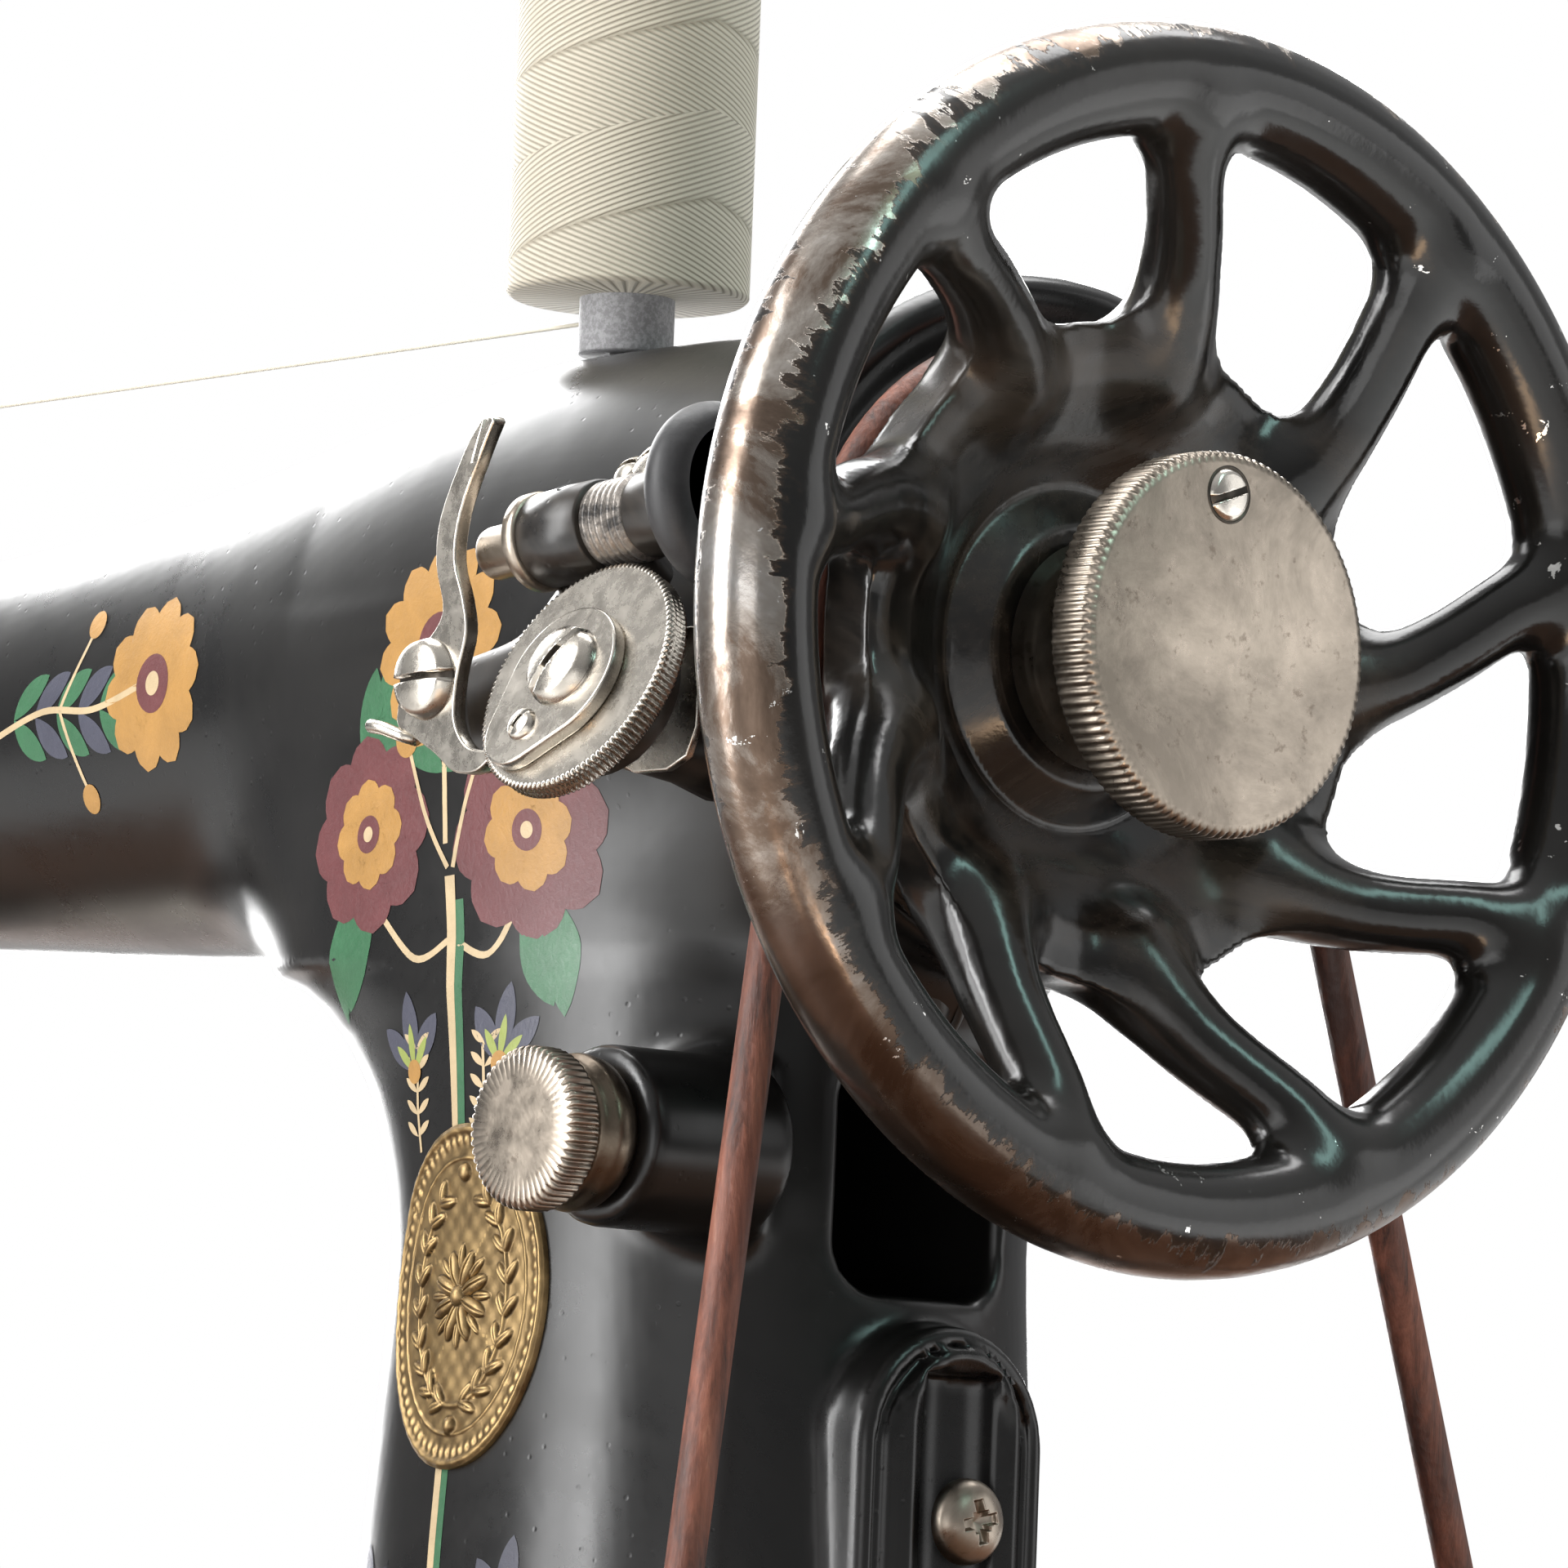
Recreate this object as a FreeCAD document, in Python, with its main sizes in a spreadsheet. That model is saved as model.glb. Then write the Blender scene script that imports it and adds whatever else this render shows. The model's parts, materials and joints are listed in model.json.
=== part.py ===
"""Treadle sewing machine: cast-iron stand, wooden table, sewing head and belt drive.

Frame: origin on the floor under the middle of the table, +Z up, +X towards the hand wheel,
+Y away from the operator. Lengths are in millimetres, angles in degrees.
"""
import FreeCAD, Part
import math
import os
import re
import Sketcher

from FreeCAD import Placement, Rotation, Vector

SIZES = {
    # table and stand
    "table_length": 860.0, "table_width": 430.0, "table_top": 759.5, "table_thick": 22.0,
    "leg_x": 275.0, "leg_thick": 14.0, "leg_bar": 9.0, "foot_y": 192.0, "foot_radius": 15.0,
    "brace_y": 108.0, "brace_thick": 10.0, "brace_bar": 8.0, "brace_hub": 62.0,
    "fit_gap": 0.3, "running_gap": 0.06,
    # drawers
    "case_inner_x": 292.0, "case_width": 126.0, "case_depth": 392.0, "case_height": 96.0,
    "case_wall": 9.0, "drawer_knob_radius": 11.0,
    # treadle and band wheel
    "treadle_y": -40.0, "treadle_z": 95.0, "treadle_width": 340.0, "treadle_depth": 300.0,
    "treadle_tilt": 12.0, "axle_radius": 6.0, "crank_throw": 26.0,
    "band_y": 52.5, "band_z": 400.6, "band_pitch_radius": 155.0, "band_rim_width": 18.0,
    "stud_radius": 9.0, "crank_pin_radius": 5.0, "pitman_x": 209.0, "stud_reach": 125.0,
    # head
    "bed_top": 762.0, "bed_left": -137.0, "bed_right": 229.0, "bed_front": -100.0,
    "bed_back": 78.0, "bed_depth": 18.5, "bed_plate": 6.0, "shaft_z": 927.0,
    "shaft_radius": 8.0, "pillar_x": 178.0, "needle_x": -72.0, "needle_y": -8.0,
    "bar_radius": 3.5, "head_left": -104.0, "head_right": -52.0, "head_half_depth": 24.0,
    "head_bottom": 832.0, "head_top": 960.0, "hook_z": 730.0, "hook_shaft_radius": 5.0,
    # belt and hand wheel
    "belt_x": 235.5, "belt_radius": 2.4, "wheel_pitch_radius": 37.5, "wheel_x": 260.0,
    "wheel_radius": 75.0, "rim_radius": 7.1, "spoke_radius": 4.6, "hub_radius": 40.0,
    "knob_radius": 23.0, "knob_thick": 7.4, "stop_screw_radius": 3.1,
    # spool
    "spool_x": 155.0, "spool_radius": 15.7, "spool_core_radius": 6.1, "spool_height": 66.0,
    "thread_radius": 0.3,
    # stitch regulator and bobbin winder
    "badge_x": 173.0, "badge_z": 849.0,
    "regulator_x": 210.0, "regulator_z": 867.0, "regulator_radius": 9.8,
    "tilt_y": -49.0, "tilt_z": 902.0, "latch_x": 191.7, "latch_z": 921.2,
    "tyre_radius": 11.5, "tyre_width": 6.0, "spindle_radius": 3.0, "worm_radius": 5.2,
    "worm_wheel_radius": 15.4, "worm_wheel_thick": 3.4,
}

doc = FreeCAD.newDocument("TreadleSewingMachine")
sheet = doc.addObject("Spreadsheet::Sheet", "Sizes")
for row, (alias, value) in enumerate(SIZES.items(), start=1):
    sheet.set("A%d" % row, alias)
    sheet.set("B%d" % row, str(value))
    sheet.setAlias("B%d" % row, alias)
doc.recompute()

PARTS = []
DIRECTIONS = {
    "X": Rotation(Vector(0, 1, 0), 90),
    "-X": Rotation(Vector(0, 1, 0), -90),
    "Y": Rotation(Vector(1, 0, 0), -90),
    "-Y": Rotation(Vector(1, 0, 0), 90),
    "Z": Rotation(),
    "-Z": Rotation(Vector(1, 0, 0), 180),
}
COUNTER = {"helper": 0}


# ---------------------------------------------------------------- helpers
def size(alias):
    """The present value of a named size."""
    return float(getattr(sheet, alias))


def linked(formula):
    """A formula in named sizes, with each name pointed at the sheet."""
    return re.sub(r"[a-z]+(_[a-z]+)+", lambda found: "Sizes." + found.group(0), str(formula))


def number(formula):
    """The present value of a formula in named sizes."""
    return float(sheet.evalExpression(str(formula)))


def bind(item, field, formula):
    item.setExpression(field, linked(formula))


def helper_name(stem):
    COUNTER["helper"] += 1
    return "%s_%03d" % (stem, COUNTER["helper"])


def place(item, base, rotation):
    """Put an object at a point whose coordinates are formulas."""
    item.Placement = Placement(Vector(*[number(value) for value in base]), rotation)
    for letter, formula in zip("xyz", base):
        bind(item, "Placement.Base." + letter, formula)
    return item


def cylinder(radius, length, base, direction="Z"):
    item = doc.addObject("Part::Cylinder", helper_name("rod"))
    bind(item, "Radius", radius)
    bind(item, "Height", length)
    return place(item, base, turn(direction))


def ring(big_radius, small_radius, base, direction="Z"):
    item = doc.addObject("Part::Torus", helper_name("ring"))
    bind(item, "Radius1", big_radius)
    bind(item, "Radius2", small_radius)
    return place(item, base, turn(direction))


def box(low, high):
    """A box between two corners given as formulas."""
    item = doc.addObject("Part::Box", helper_name("block"))
    for field, start, end in zip(("Length", "Width", "Height"), low, high):
        bind(item, field, "(%s) - (%s)" % (end, start))
    return place(item, low, Rotation())


def turn(direction):
    """The rotation that takes +Z to a named direction or to a vector."""
    if isinstance(direction, str):
        return DIRECTIONS[direction]
    return Rotation(Vector(0, 0, 1), direction)


def fuse(items):
    if len(items) == 1:
        return items[0]
    item = doc.addObject("Part::MultiFuse", helper_name("joined"))
    item.Shapes = items
    return item


def cut(base, tools):
    item = doc.addObject("Part::Cut", helper_name("shaped"))
    item.Base = base
    item.Tool = fuse(tools)
    return item


def group(items):
    """Separate solids that share one node, such as a set of like screws."""
    item = doc.addObject("Part::Compound", helper_name("group"))
    item.Links = items
    return item


def formed(shape):
    """A shape made with Part's own functions."""
    item = doc.addObject("Part::Feature", helper_name("formed"))
    placement = shape.Placement
    item.Shape = shape
    item.Placement = placement
    return item


def finish(item, node):
    """Name a finished sub-part."""
    item.Label = node
    PARTS.append(item)
    return item


def turned(profile, base, direction="X"):
    """A turned body: the profile lists (distance along the axis, radius) as formulas."""
    body = doc.addObject("PartDesign::Body", helper_name("turning"))
    sketch = body.newObject("Sketcher::SketchObject", helper_name("profile"))
    plane = [item for item in body.Origin.OriginFeatures if item.Role == "XZ_Plane"][0]
    sketch.AttachmentSupport = [(plane, "")]
    sketch.MapMode = "FlatFace"
    points = [Vector(number(radius), number(along), 0) for along, radius in profile]
    for start, end in zip(points, points[1:] + points[:1]):
        sketch.addGeometry(Part.LineSegment(start, end), False)
    last = len(points) - 1
    for index in range(len(points)):
        follower = 0 if index == last else index + 1
        sketch.addConstraint(Sketcher.Constraint("Coincident", index, 2, follower, 1))
    for index, (along, radius) in enumerate(profile):
        for kind, formula, line in (("DistanceX", radius, -2), ("DistanceY", along, -1)):
            value = number(formula)
            if abs(value) < 1e-9:
                sketch.addConstraint(Sketcher.Constraint("PointOnObject", index, 1, line))
                continue
            made = sketch.addConstraint(Sketcher.Constraint(kind, -1, 1, index, 1, value))
            sketch.setExpression("Constraints[%d]" % made, linked(formula))
    revolution = body.newObject("PartDesign::Revolution", helper_name("revolution"))
    revolution.Profile = sketch
    revolution.ReferenceAxis = (sketch, ["V_Axis"])
    revolution.Angle = 360
    return place(body, base, turn(direction))


def ellipse_wire(centre, half_a, half_b, plane):
    """An ellipse across X (plane "YZ") or across Z (plane "XY")."""
    if plane == "YZ":
        first, second = Vector(0, 1, 0), Vector(0, 0, 1)
    else:
        first, second = Vector(1, 0, 0), Vector(0, 1, 0)
    if half_b > half_a:
        first, second, half_a, half_b = second, first * -1, half_b, half_a
    curve = Part.Ellipse(centre + first * half_a, centre + second * half_b, centre)
    return Part.Wire([curve.toShape()])


def capsule(start, end, half_width, normal):
    """The outline of a straight bar with round ends."""
    along = (end - start).normalize() * half_width
    side = normal.cross(along).normalize() * half_width
    edges = [
        Part.makeLine(start + side, end + side),
        Part.Arc(end + side, end + along, end - side).toShape(),
        Part.makeLine(end - side, start - side),
        Part.Arc(start - side, start - along, start + side).toShape(),
    ]
    return Part.Wire(edges)


def bars(paths, half_width, thickness, normal):
    """Cast bars of one thickness that follow open paths in a plane, joined into one solid."""
    solids = []
    for path in paths:
        if len(path) == 2:
            outline = capsule(path[0], path[1], half_width, normal)
        else:
            outline = Part.makePolygon(path).makeOffset2D(half_width, join=0, openResult=False)
        solids.append(Part.Face(outline).extrude(normal * thickness))
    joined = solids[0].fuse(solids[1:])
    return joined.removeSplitter()


def hoop(centre, radius, half_width, thickness, normal):
    """A flat ring of the same bar."""
    outer = Part.makeCylinder(radius + half_width, thickness, centre, normal)
    inner = Part.makeCylinder(radius - half_width, thickness, centre, normal)
    return outer.cut(inner)


# ---------------------------------------------------------------- stand
def make_leg(side, node):
    """A cast side frame: two curved posts, top rail, low rail, hub bar and scrolls."""
    x_low = side * size("leg_x") - size("leg_thick") / 2
    top = size("table_top") - size("table_thick")
    half = size("leg_bar")
    foot = size("foot_y")
    hub = Vector(x_low, size("band_y"), size("band_z"))

    def at(y, z):
        return Vector(x_low, y, z)

    low_rail = size("treadle_z")
    paths = [
        [at(-168, top - half), at(168, top - half)],
        [at(-150, top - half), at(-112, 560), at(-70, 440), at(-78, 330), at(-130, 190),
         at(-172, low_rail), at(-foot, 26)],
        [at(150, top - half), at(128, 560), at(96, 440), at(100, 330), at(142, 190),
         at(178, low_rail), at(foot, 26)],
        [at(-172, low_rail), at(178, low_rail)],
        [at(-70, 440), at(hub.y, hub.z), at(96, 440)],
        [at(-112, 560), at(8, 640), at(128, 560)],
        [at(-78, 330), at(8, 250), at(100, 330)],
    ]
    paths += [
        [at(8, 587), at(8, 640)], [at(8, 503), at(8, 418)],
        [at(8, 218), at(8, 250)], [at(8, 126), at(8, low_rail)],
    ]
    along = Vector(1, 0, 0)
    frame = bars(paths, half, size("leg_thick"), along)
    scrolls = [hoop(at(8, 545), 42, half, size("leg_thick"), along),
               hoop(at(8, 172), 46, half, size("leg_thick"), along)]
    boss = Part.makeCylinder(22, size("leg_thick"), hub, Vector(1, 0, 0))
    axle_boss = Part.makeCylinder(
        16, size("leg_thick"), at(size("treadle_y"), low_rail), Vector(1, 0, 0))
    solid = frame.fuse(scrolls + [boss, axle_boss])
    holes = [
        Part.makeCylinder(size("stud_radius"), 60, hub - Vector(10, 0, 0), Vector(1, 0, 0)),
        Part.makeCylinder(size("axle_radius"), 60,
                          at(size("treadle_y"), low_rail) - Vector(10, 0, 0),
                          Vector(1, 0, 0)),
    ]
    for y in (-foot, foot):
        pad = Part.makeCylinder(size("foot_radius"), 12, at(y, 14) + Vector(7, 0, 0))
        solid = solid.fuse(pad)
    finish(formed(solid.cut(holes).removeSplitter()), node)


def make_stand():
    make_leg(-1, "left_leg")
    make_leg(1, "right_leg")
    reach = size("leg_x") - size("leg_thick") / 2
    brace_y = size("brace_y")

    def at(x, z):
        return Vector(x, brace_y, z)

    half = size("brace_bar")
    hub = size("brace_hub")
    thick = size("brace_thick")
    high, mid, low = 670, 400, 128
    inset = reach - half
    backward = Vector(0, 1, 0)
    paths = [
        [at(-inset, high), at(0, mid), at(inset, low)],
        [at(inset, high), at(0, mid), at(-inset, low)],
    ]
    brace = bars(paths, half, thick, backward)
    brace = brace.cut(Part.makeCylinder(hub, 3 * thick, at(0, mid) - backward * 5, backward))
    flanges = [hoop(at(0, mid), hub, half, thick, backward)]
    for x in (-reach, reach - half):
        flanges.append(Part.makeBox(half, 44, 40, Vector(x, brace_y, high - 20)))
        flanges.append(Part.makeBox(half, 60, 40, Vector(x, brace_y, low - 20)))
    finish(formed(brace.fuse(flanges).removeSplitter()), "rear_brace")

    axle_length = "2 * leg_x + leg_thick + 8"
    finish(cylinder("axle_radius", axle_length,
                    ("-leg_x - leg_thick / 2 - 4", "treadle_y", "treadle_z"), "X"),
           "treadle_axle")

    pads = []
    for x_sign in (-1, 1):
        for y_sign in (-1, 1):
            pads.append(cylinder("foot_radius + 2", 14,
                                 ("%d * leg_x" % x_sign, "%d * foot_y" % y_sign, 0)))
    finish(group(pads), "foot_glides")

    bolts = []
    for x_sign in (-1, 1):
        for y in (-60, 60):
            bolts.append(cylinder(7, 5, ("%d * leg_x" % x_sign, y,
                                         "table_top - table_thick - 2 * leg_bar - 5")))
    finish(group(bolts), "stand_bolts")

    stud = fuse([
        cylinder("stud_radius", "leg_x + leg_thick / 2 + 5 - 219",
                 (219, "band_y", "band_z"), "X"),
        cylinder("stud_radius + 7", 6, ("leg_x + leg_thick / 2", "band_y", "band_z"), "X"),
        cylinder("stud_radius + 5", 8, ("leg_x - leg_thick / 2 - 8", "band_y", "band_z"), "X"),
    ])
    finish(stud, "band_wheel_stud")

    guard_x = 214
    guard = bars([
        [Vector(guard_x, -121, 236), Vector(guard_x, -121, 600), Vector(guard_x, -131, 645)],
    ], 5, 5, Vector(1, 0, 0))
    arm_length = size("leg_x") - size("leg_thick") / 2 - guard_x
    guard_foot = Part.makeBox(arm_length, 10, 10, Vector(guard_x, -126, 231))
    guard_head = Part.makeBox(arm_length, 10, 10, Vector(guard_x, -136, 640))
    finish(formed(guard.fuse([guard_foot, guard_head]).removeSplitter()), "dress_guard")


# ---------------------------------------------------------------- table and drawers
def make_table():
    corner = ("-table_length / 2", "-table_width / 2", "table_top - table_thick")
    far = ("table_length / 2", "table_width / 2", "table_top")
    board = box(corner, far)
    gap = 0.4
    pocket = box(("bed_left - %s" % gap, "bed_front - %s" % gap, "bed_top - bed_depth"),
                 ("bed_right + %s" % gap, "bed_back + %s" % gap, "table_top + 5"))
    well = box(("bed_left + 9", "bed_front + 9", "table_top - table_thick - 5"),
               ("bed_right - 9", "bed_back - 9", "table_top"))
    slots = [
        box(("bed_right - 2", -76, "table_top - table_thick - 5"),
            ("belt_x + 7", -46, "table_top + 5")),
        box(("belt_x - 6", 84, "table_top - table_thick - 5"),
            ("belt_x + 7", 116, "table_top + 5")),
    ]
    finish(cut(board, [pocket, well] + slots), "table_top")


def make_drawers(side, word):
    """A fixed case under the table end, its drawer and the drawer's turned knob."""
    inner = "%d * case_inner_x" % side
    outer = "%d * (case_inner_x + case_width)" % side
    low_x, high_x = (outer, inner) if side < 0 else (inner, outer)
    top = "table_top - table_thick"
    floor = "table_top - table_thick - case_height"
    shell = box((low_x, "-case_depth / 2", floor), (high_x, "case_depth / 2", top))
    hollow = box(("%s + case_wall" % low_x, "-case_depth / 2 - 5", "%s + case_wall" % floor),
                 ("%s - case_wall" % high_x, "case_depth / 2 - case_wall",
                  "%s - case_wall" % top))
    finish(cut(shell, [hollow]), "drawer_case_" + word)

    slack = 0.8
    front = "-case_depth / 2 - 11"
    tray = box(("%s + case_wall + %s" % (low_x, slack), "-case_depth / 2 - 0.5",
                "%s + case_wall + %s" % (floor, slack)),
               ("%s - case_wall - %s" % (high_x, slack), "case_depth / 2 - case_wall - 2",
                "%s - case_wall - 6" % top))
    inside = box(("%s + case_wall + 8" % low_x, "-case_depth / 2 + 6",
                  "%s + case_wall + 6" % floor),
                 ("%s - case_wall - 8" % high_x, "case_depth / 2 - case_wall - 10",
                  "%s + 5" % top))
    face = box(("%s + 1" % low_x, front, "%s + 1" % floor),
               ("%s - 1" % high_x, "-case_depth / 2 - 0.5", "%s - 1" % top))
    finish(fuse([cut(tray, [inside]), face]), "drawer_" + word)

    knob_x = "%d * (case_inner_x + case_width / 2)" % side
    knob_z = "table_top - table_thick - case_height / 2"
    profile = [(0, 0), (0, 5), (2, 4), (3, "drawer_knob_radius - 1"),
               (5, "drawer_knob_radius"), (6.5, "drawer_knob_radius - 3"), (7, 0)]
    finish(turned(profile, (knob_x, front, knob_z), "-Y"), "drawer_knob_" + word)


# ---------------------------------------------------------------- drive
def make_band_wheel():
    rim_x = "belt_x - band_rim_width / 2"
    outer = "band_pitch_radius + 3.5"
    centre = ("belt_x", "band_y", "band_z")
    rim = turned([(0, "band_pitch_radius - 11"), ("band_rim_width", "band_pitch_radius - 11"),
                  ("band_rim_width", outer), (0, outer)], (rim_x, "band_y", "band_z"))
    groove = ring("band_pitch_radius + 1.5", "belt_radius + 1.8", centre, "X")
    hub = cylinder(24, 24, ("belt_x - 12", "band_y", "band_z"), "X")
    spokes = []
    for step in range(6):
        angle = math.radians(60 * step + 30)
        direction = Vector(0, math.cos(angle), math.sin(angle))
        start = Vector(size("belt_x"), size("band_y"), size("band_z")) + direction * 18
        spokes.append(formed(Part.makeCylinder(
            6.5, size("band_pitch_radius") - 25, start, direction)))
    crank_boss = cylinder(13, 12, ("belt_x - 12", "band_y", "band_z - crank_throw"), "X")
    solid = fuse([cut(rim, [groove]), hub, crank_boss] + spokes)
    bore = cylinder("stud_radius + running_gap", 60, ("belt_x - 30", "band_y", "band_z"), "X")
    pin_hole = cylinder("crank_pin_radius", 20,
                        ("belt_x - 13", "band_y", "band_z - crank_throw"), "X")
    finish(cut(solid, [bore, pin_hole]), "band_wheel")

    pin = fuse([
        cylinder("crank_pin_radius", "belt_x - 1 - pitman_x + 8",
                 ("pitman_x - 8", "band_y", "band_z - crank_throw"), "X"),
        cylinder("crank_pin_radius + 3", 3,
                 ("pitman_x - 9", "band_y", "band_z - crank_throw"), "X"),
    ])
    finish(pin, "crank_pin")


def make_pitman():
    x_low = size("pitman_x") - 4
    top = Vector(x_low, size("band_y"), size("band_z") - size("crank_throw"))
    bottom = Vector(x_low, size("treadle_y") + stud_offset().y, size("treadle_z") + stud_offset().z)
    along = Vector(1, 0, 0)
    direction = (bottom - top).normalize()
    rod = Part.makeCylinder(4, (bottom - top).Length - 20, top + direction * 10
                            + along * 4, direction)
    eyes = [Part.makeCylinder(14, 8, top, along), Part.makeCylinder(12, 8, bottom, along)]
    solid = rod.fuse(eyes)
    bores = [
        Part.makeCylinder(size("crank_pin_radius") + size("running_gap"), 20,
                          top - along * 5, along),
        Part.makeCylinder(5.5, 20, bottom - along * 5, along),
    ]
    finish(formed(solid.cut(bores)), "pitman_rod")


def stud_offset():
    """From the treadle pivot to the stud that the pitman drives, at rest."""
    angle = math.radians(size("treadle_tilt"))
    reach = size("stud_reach")
    return Vector(0, reach * math.cos(angle), -reach * math.sin(angle))


def make_treadle():
    """A cast grille with two lugs on the axle and a stud for the pitman."""
    width = size("treadle_width")
    depth = size("treadle_depth")
    height = 12.0
    thick = 7.0
    plate = Part.makeBox(width, depth, thick, Vector(-width / 2, -depth / 2, height))
    slots = []
    columns, rows = 9, 5
    border = 16.0
    pitch_x = (width - 2 * border) / columns
    pitch_y = (depth - 2 * border) / rows
    for column in range(columns):
        for row in range(rows):
            corner = Vector(-width / 2 + border + pitch_x * column + 4,
                            -depth / 2 + border + pitch_y * row + 4, 0)
            slots.append(Part.makeBox(pitch_x - 8, pitch_y - 8, 40, corner))
    solid = plate.cut(slots)
    along = Vector(1, 0, 0)
    lugs = []
    for x in (-150.0, 138.0):
        lugs.append(Part.makeCylinder(11, 12, Vector(x, 0, 0), along))
        lugs.append(Part.makeBox(12, 16, height + 2, Vector(x, -8, 0)))
    arm = Part.makeBox(12, 40, 22, Vector(width / 2 - 14, size("stud_reach") - 20, -6))
    stud = Part.makeCylinder(5, size("pitman_x") - 4.6 - (width / 2 - 10),
                             Vector(width / 2 - 10, size("stud_reach"), 0), along)
    solid = solid.fuse(lugs + [arm, stud])
    bore = Part.makeCylinder(size("axle_radius") + size("running_gap"), width + 40,
                             Vector(-width / 2 - 20, 0, 0), along)
    solid = solid.cut(bore).removeSplitter()
    solid.rotate(Vector(0, 0, 0), along, -size("treadle_tilt"))
    solid.translate(Vector(0, size("treadle_y"), size("treadle_z")))
    finish(formed(solid), "treadle_plate")


def make_belt():
    """A round belt: two straight runs and the arcs round both grooves."""
    small, large = size("wheel_pitch_radius"), size("band_pitch_radius")
    upper = Vector(size("belt_x"), 0, size("shaft_z"))
    lower = Vector(size("belt_x"), size("band_y"), size("band_z"))
    down = (lower - upper).normalize()
    ahead = Vector(0, -1, 0)
    side = (ahead - down * ahead.dot(down)).normalize()
    lean = math.asin((large - small) / (lower - upper).Length)
    normals = []
    for sign in (1, -1):
        normals.append(side * (sign * math.cos(lean)) - down * math.sin(lean))
    tangents = [[centre + normal * radius for normal in normals]
                for centre, radius in ((upper, small), (lower, large))]
    edges = [
        Part.makeLine(tangents[0][0], tangents[1][0]),
        Part.Arc(tangents[1][0], lower + down * large, tangents[1][1]).toShape(),
        Part.makeLine(tangents[1][1], tangents[0][1]),
        Part.Arc(tangents[0][1], upper - down * small, tangents[0][0]).toShape(),
    ]
    path = Part.Wire(edges)
    start = tangents[0][0]
    heading = (tangents[1][0] - tangents[0][0]).normalize()
    profile = Part.Wire([Part.makeCircle(size("belt_radius"), start, heading)])
    solid = path.makePipeShell([profile], True, False)
    finish(formed(solid), "leather_belt")


# ---------------------------------------------------------------- hand wheel
def make_hand_wheel():
    axis = (0, "shaft_z")
    hub = turned([
        (-27.8, "shaft_radius"), (-27.8, "wheel_pitch_radius + 0.5"),
        (-21.4, "wheel_pitch_radius + 0.5"), (-19.4, "hub_radius"), (-11.5, "hub_radius"),
        (-11.5, 36), (-14.5, 27), (-20, 20.4), (-20, 16), (-16, 15), (-16, "shaft_radius"),
    ], ("wheel_x",) + axis)
    groove = ring("wheel_pitch_radius + 0.6", "belt_radius + 0.7", ("belt_x",) + axis, "X")
    rim = ring("wheel_radius - rim_radius", "rim_radius", ("wheel_x",) + axis, "X")
    spokes = []
    twist = 13.0
    for step in range(9):
        outer = math.radians(93 + 40 * step)
        inner = math.radians(93 - twist + 40 * step)
        start = Vector(size("wheel_x") - 15, 34 * math.cos(inner),
                       size("shaft_z") + 34 * math.sin(inner))
        radius = size("wheel_radius") - size("rim_radius")
        end = Vector(size("wheel_x"), radius * math.cos(outer),
                     size("shaft_z") + radius * math.sin(outer))
        spokes.append(formed(Part.makeCylinder(
            size("spoke_radius"), (end - start).Length, start, end - start)))
    wheel = fuse([cut(hub, [groove]), rim] + spokes)
    neck_room = cylinder("15.5", 30, ("wheel_x - 16",) + axis, "X")
    finish(cut(wheel, [neck_room]), "handwheel")

    shaft = fuse([
        cylinder("shaft_radius", "wheel_x - 20 + 62", (-62,) + axis, "X"),
        cylinder("shaft_radius - 2", 24, ("wheel_x - 20",) + axis, "X"),
        cylinder(17, 6, (-66,) + axis, "X"),
        cylinder(4, 2, (-67.4, 0, "shaft_z + 11"), "X"),
    ])
    finish(shaft, "arm_shaft")

    knob = turned([
        (-15.5, "shaft_radius - 2 + running_gap"), (-15.5, 14), (-12, 12.5), (-1.5, 13.5),
        (0, "knob_radius - 1"), (1, "knob_radius"), ("knob_thick - 0.8", "knob_radius"),
        ("knob_thick", "knob_radius - 0.8"), ("knob_thick", 0), (4.5, 0),
        (4.5, "shaft_radius - 2 + running_gap"),
    ], ("wheel_x",) + axis)
    screw_at = ("wheel_x + knob_thick - 3", -0.8, "shaft_z + 17.7")
    finish(cut(knob, [cylinder("stop_screw_radius", 5, screw_at, "X")]), "clutch_knob")
    screw = cylinder("stop_screw_radius", 3.3, screw_at, "X")
    slot = box(("wheel_x + knob_thick - 0.6", -1.2, "shaft_z + 10"),
               ("wheel_x + knob_thick + 2", -0.4, "shaft_z + 25"))
    finish(cut(screw, [slot]), "clutch_stop_screw")


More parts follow.
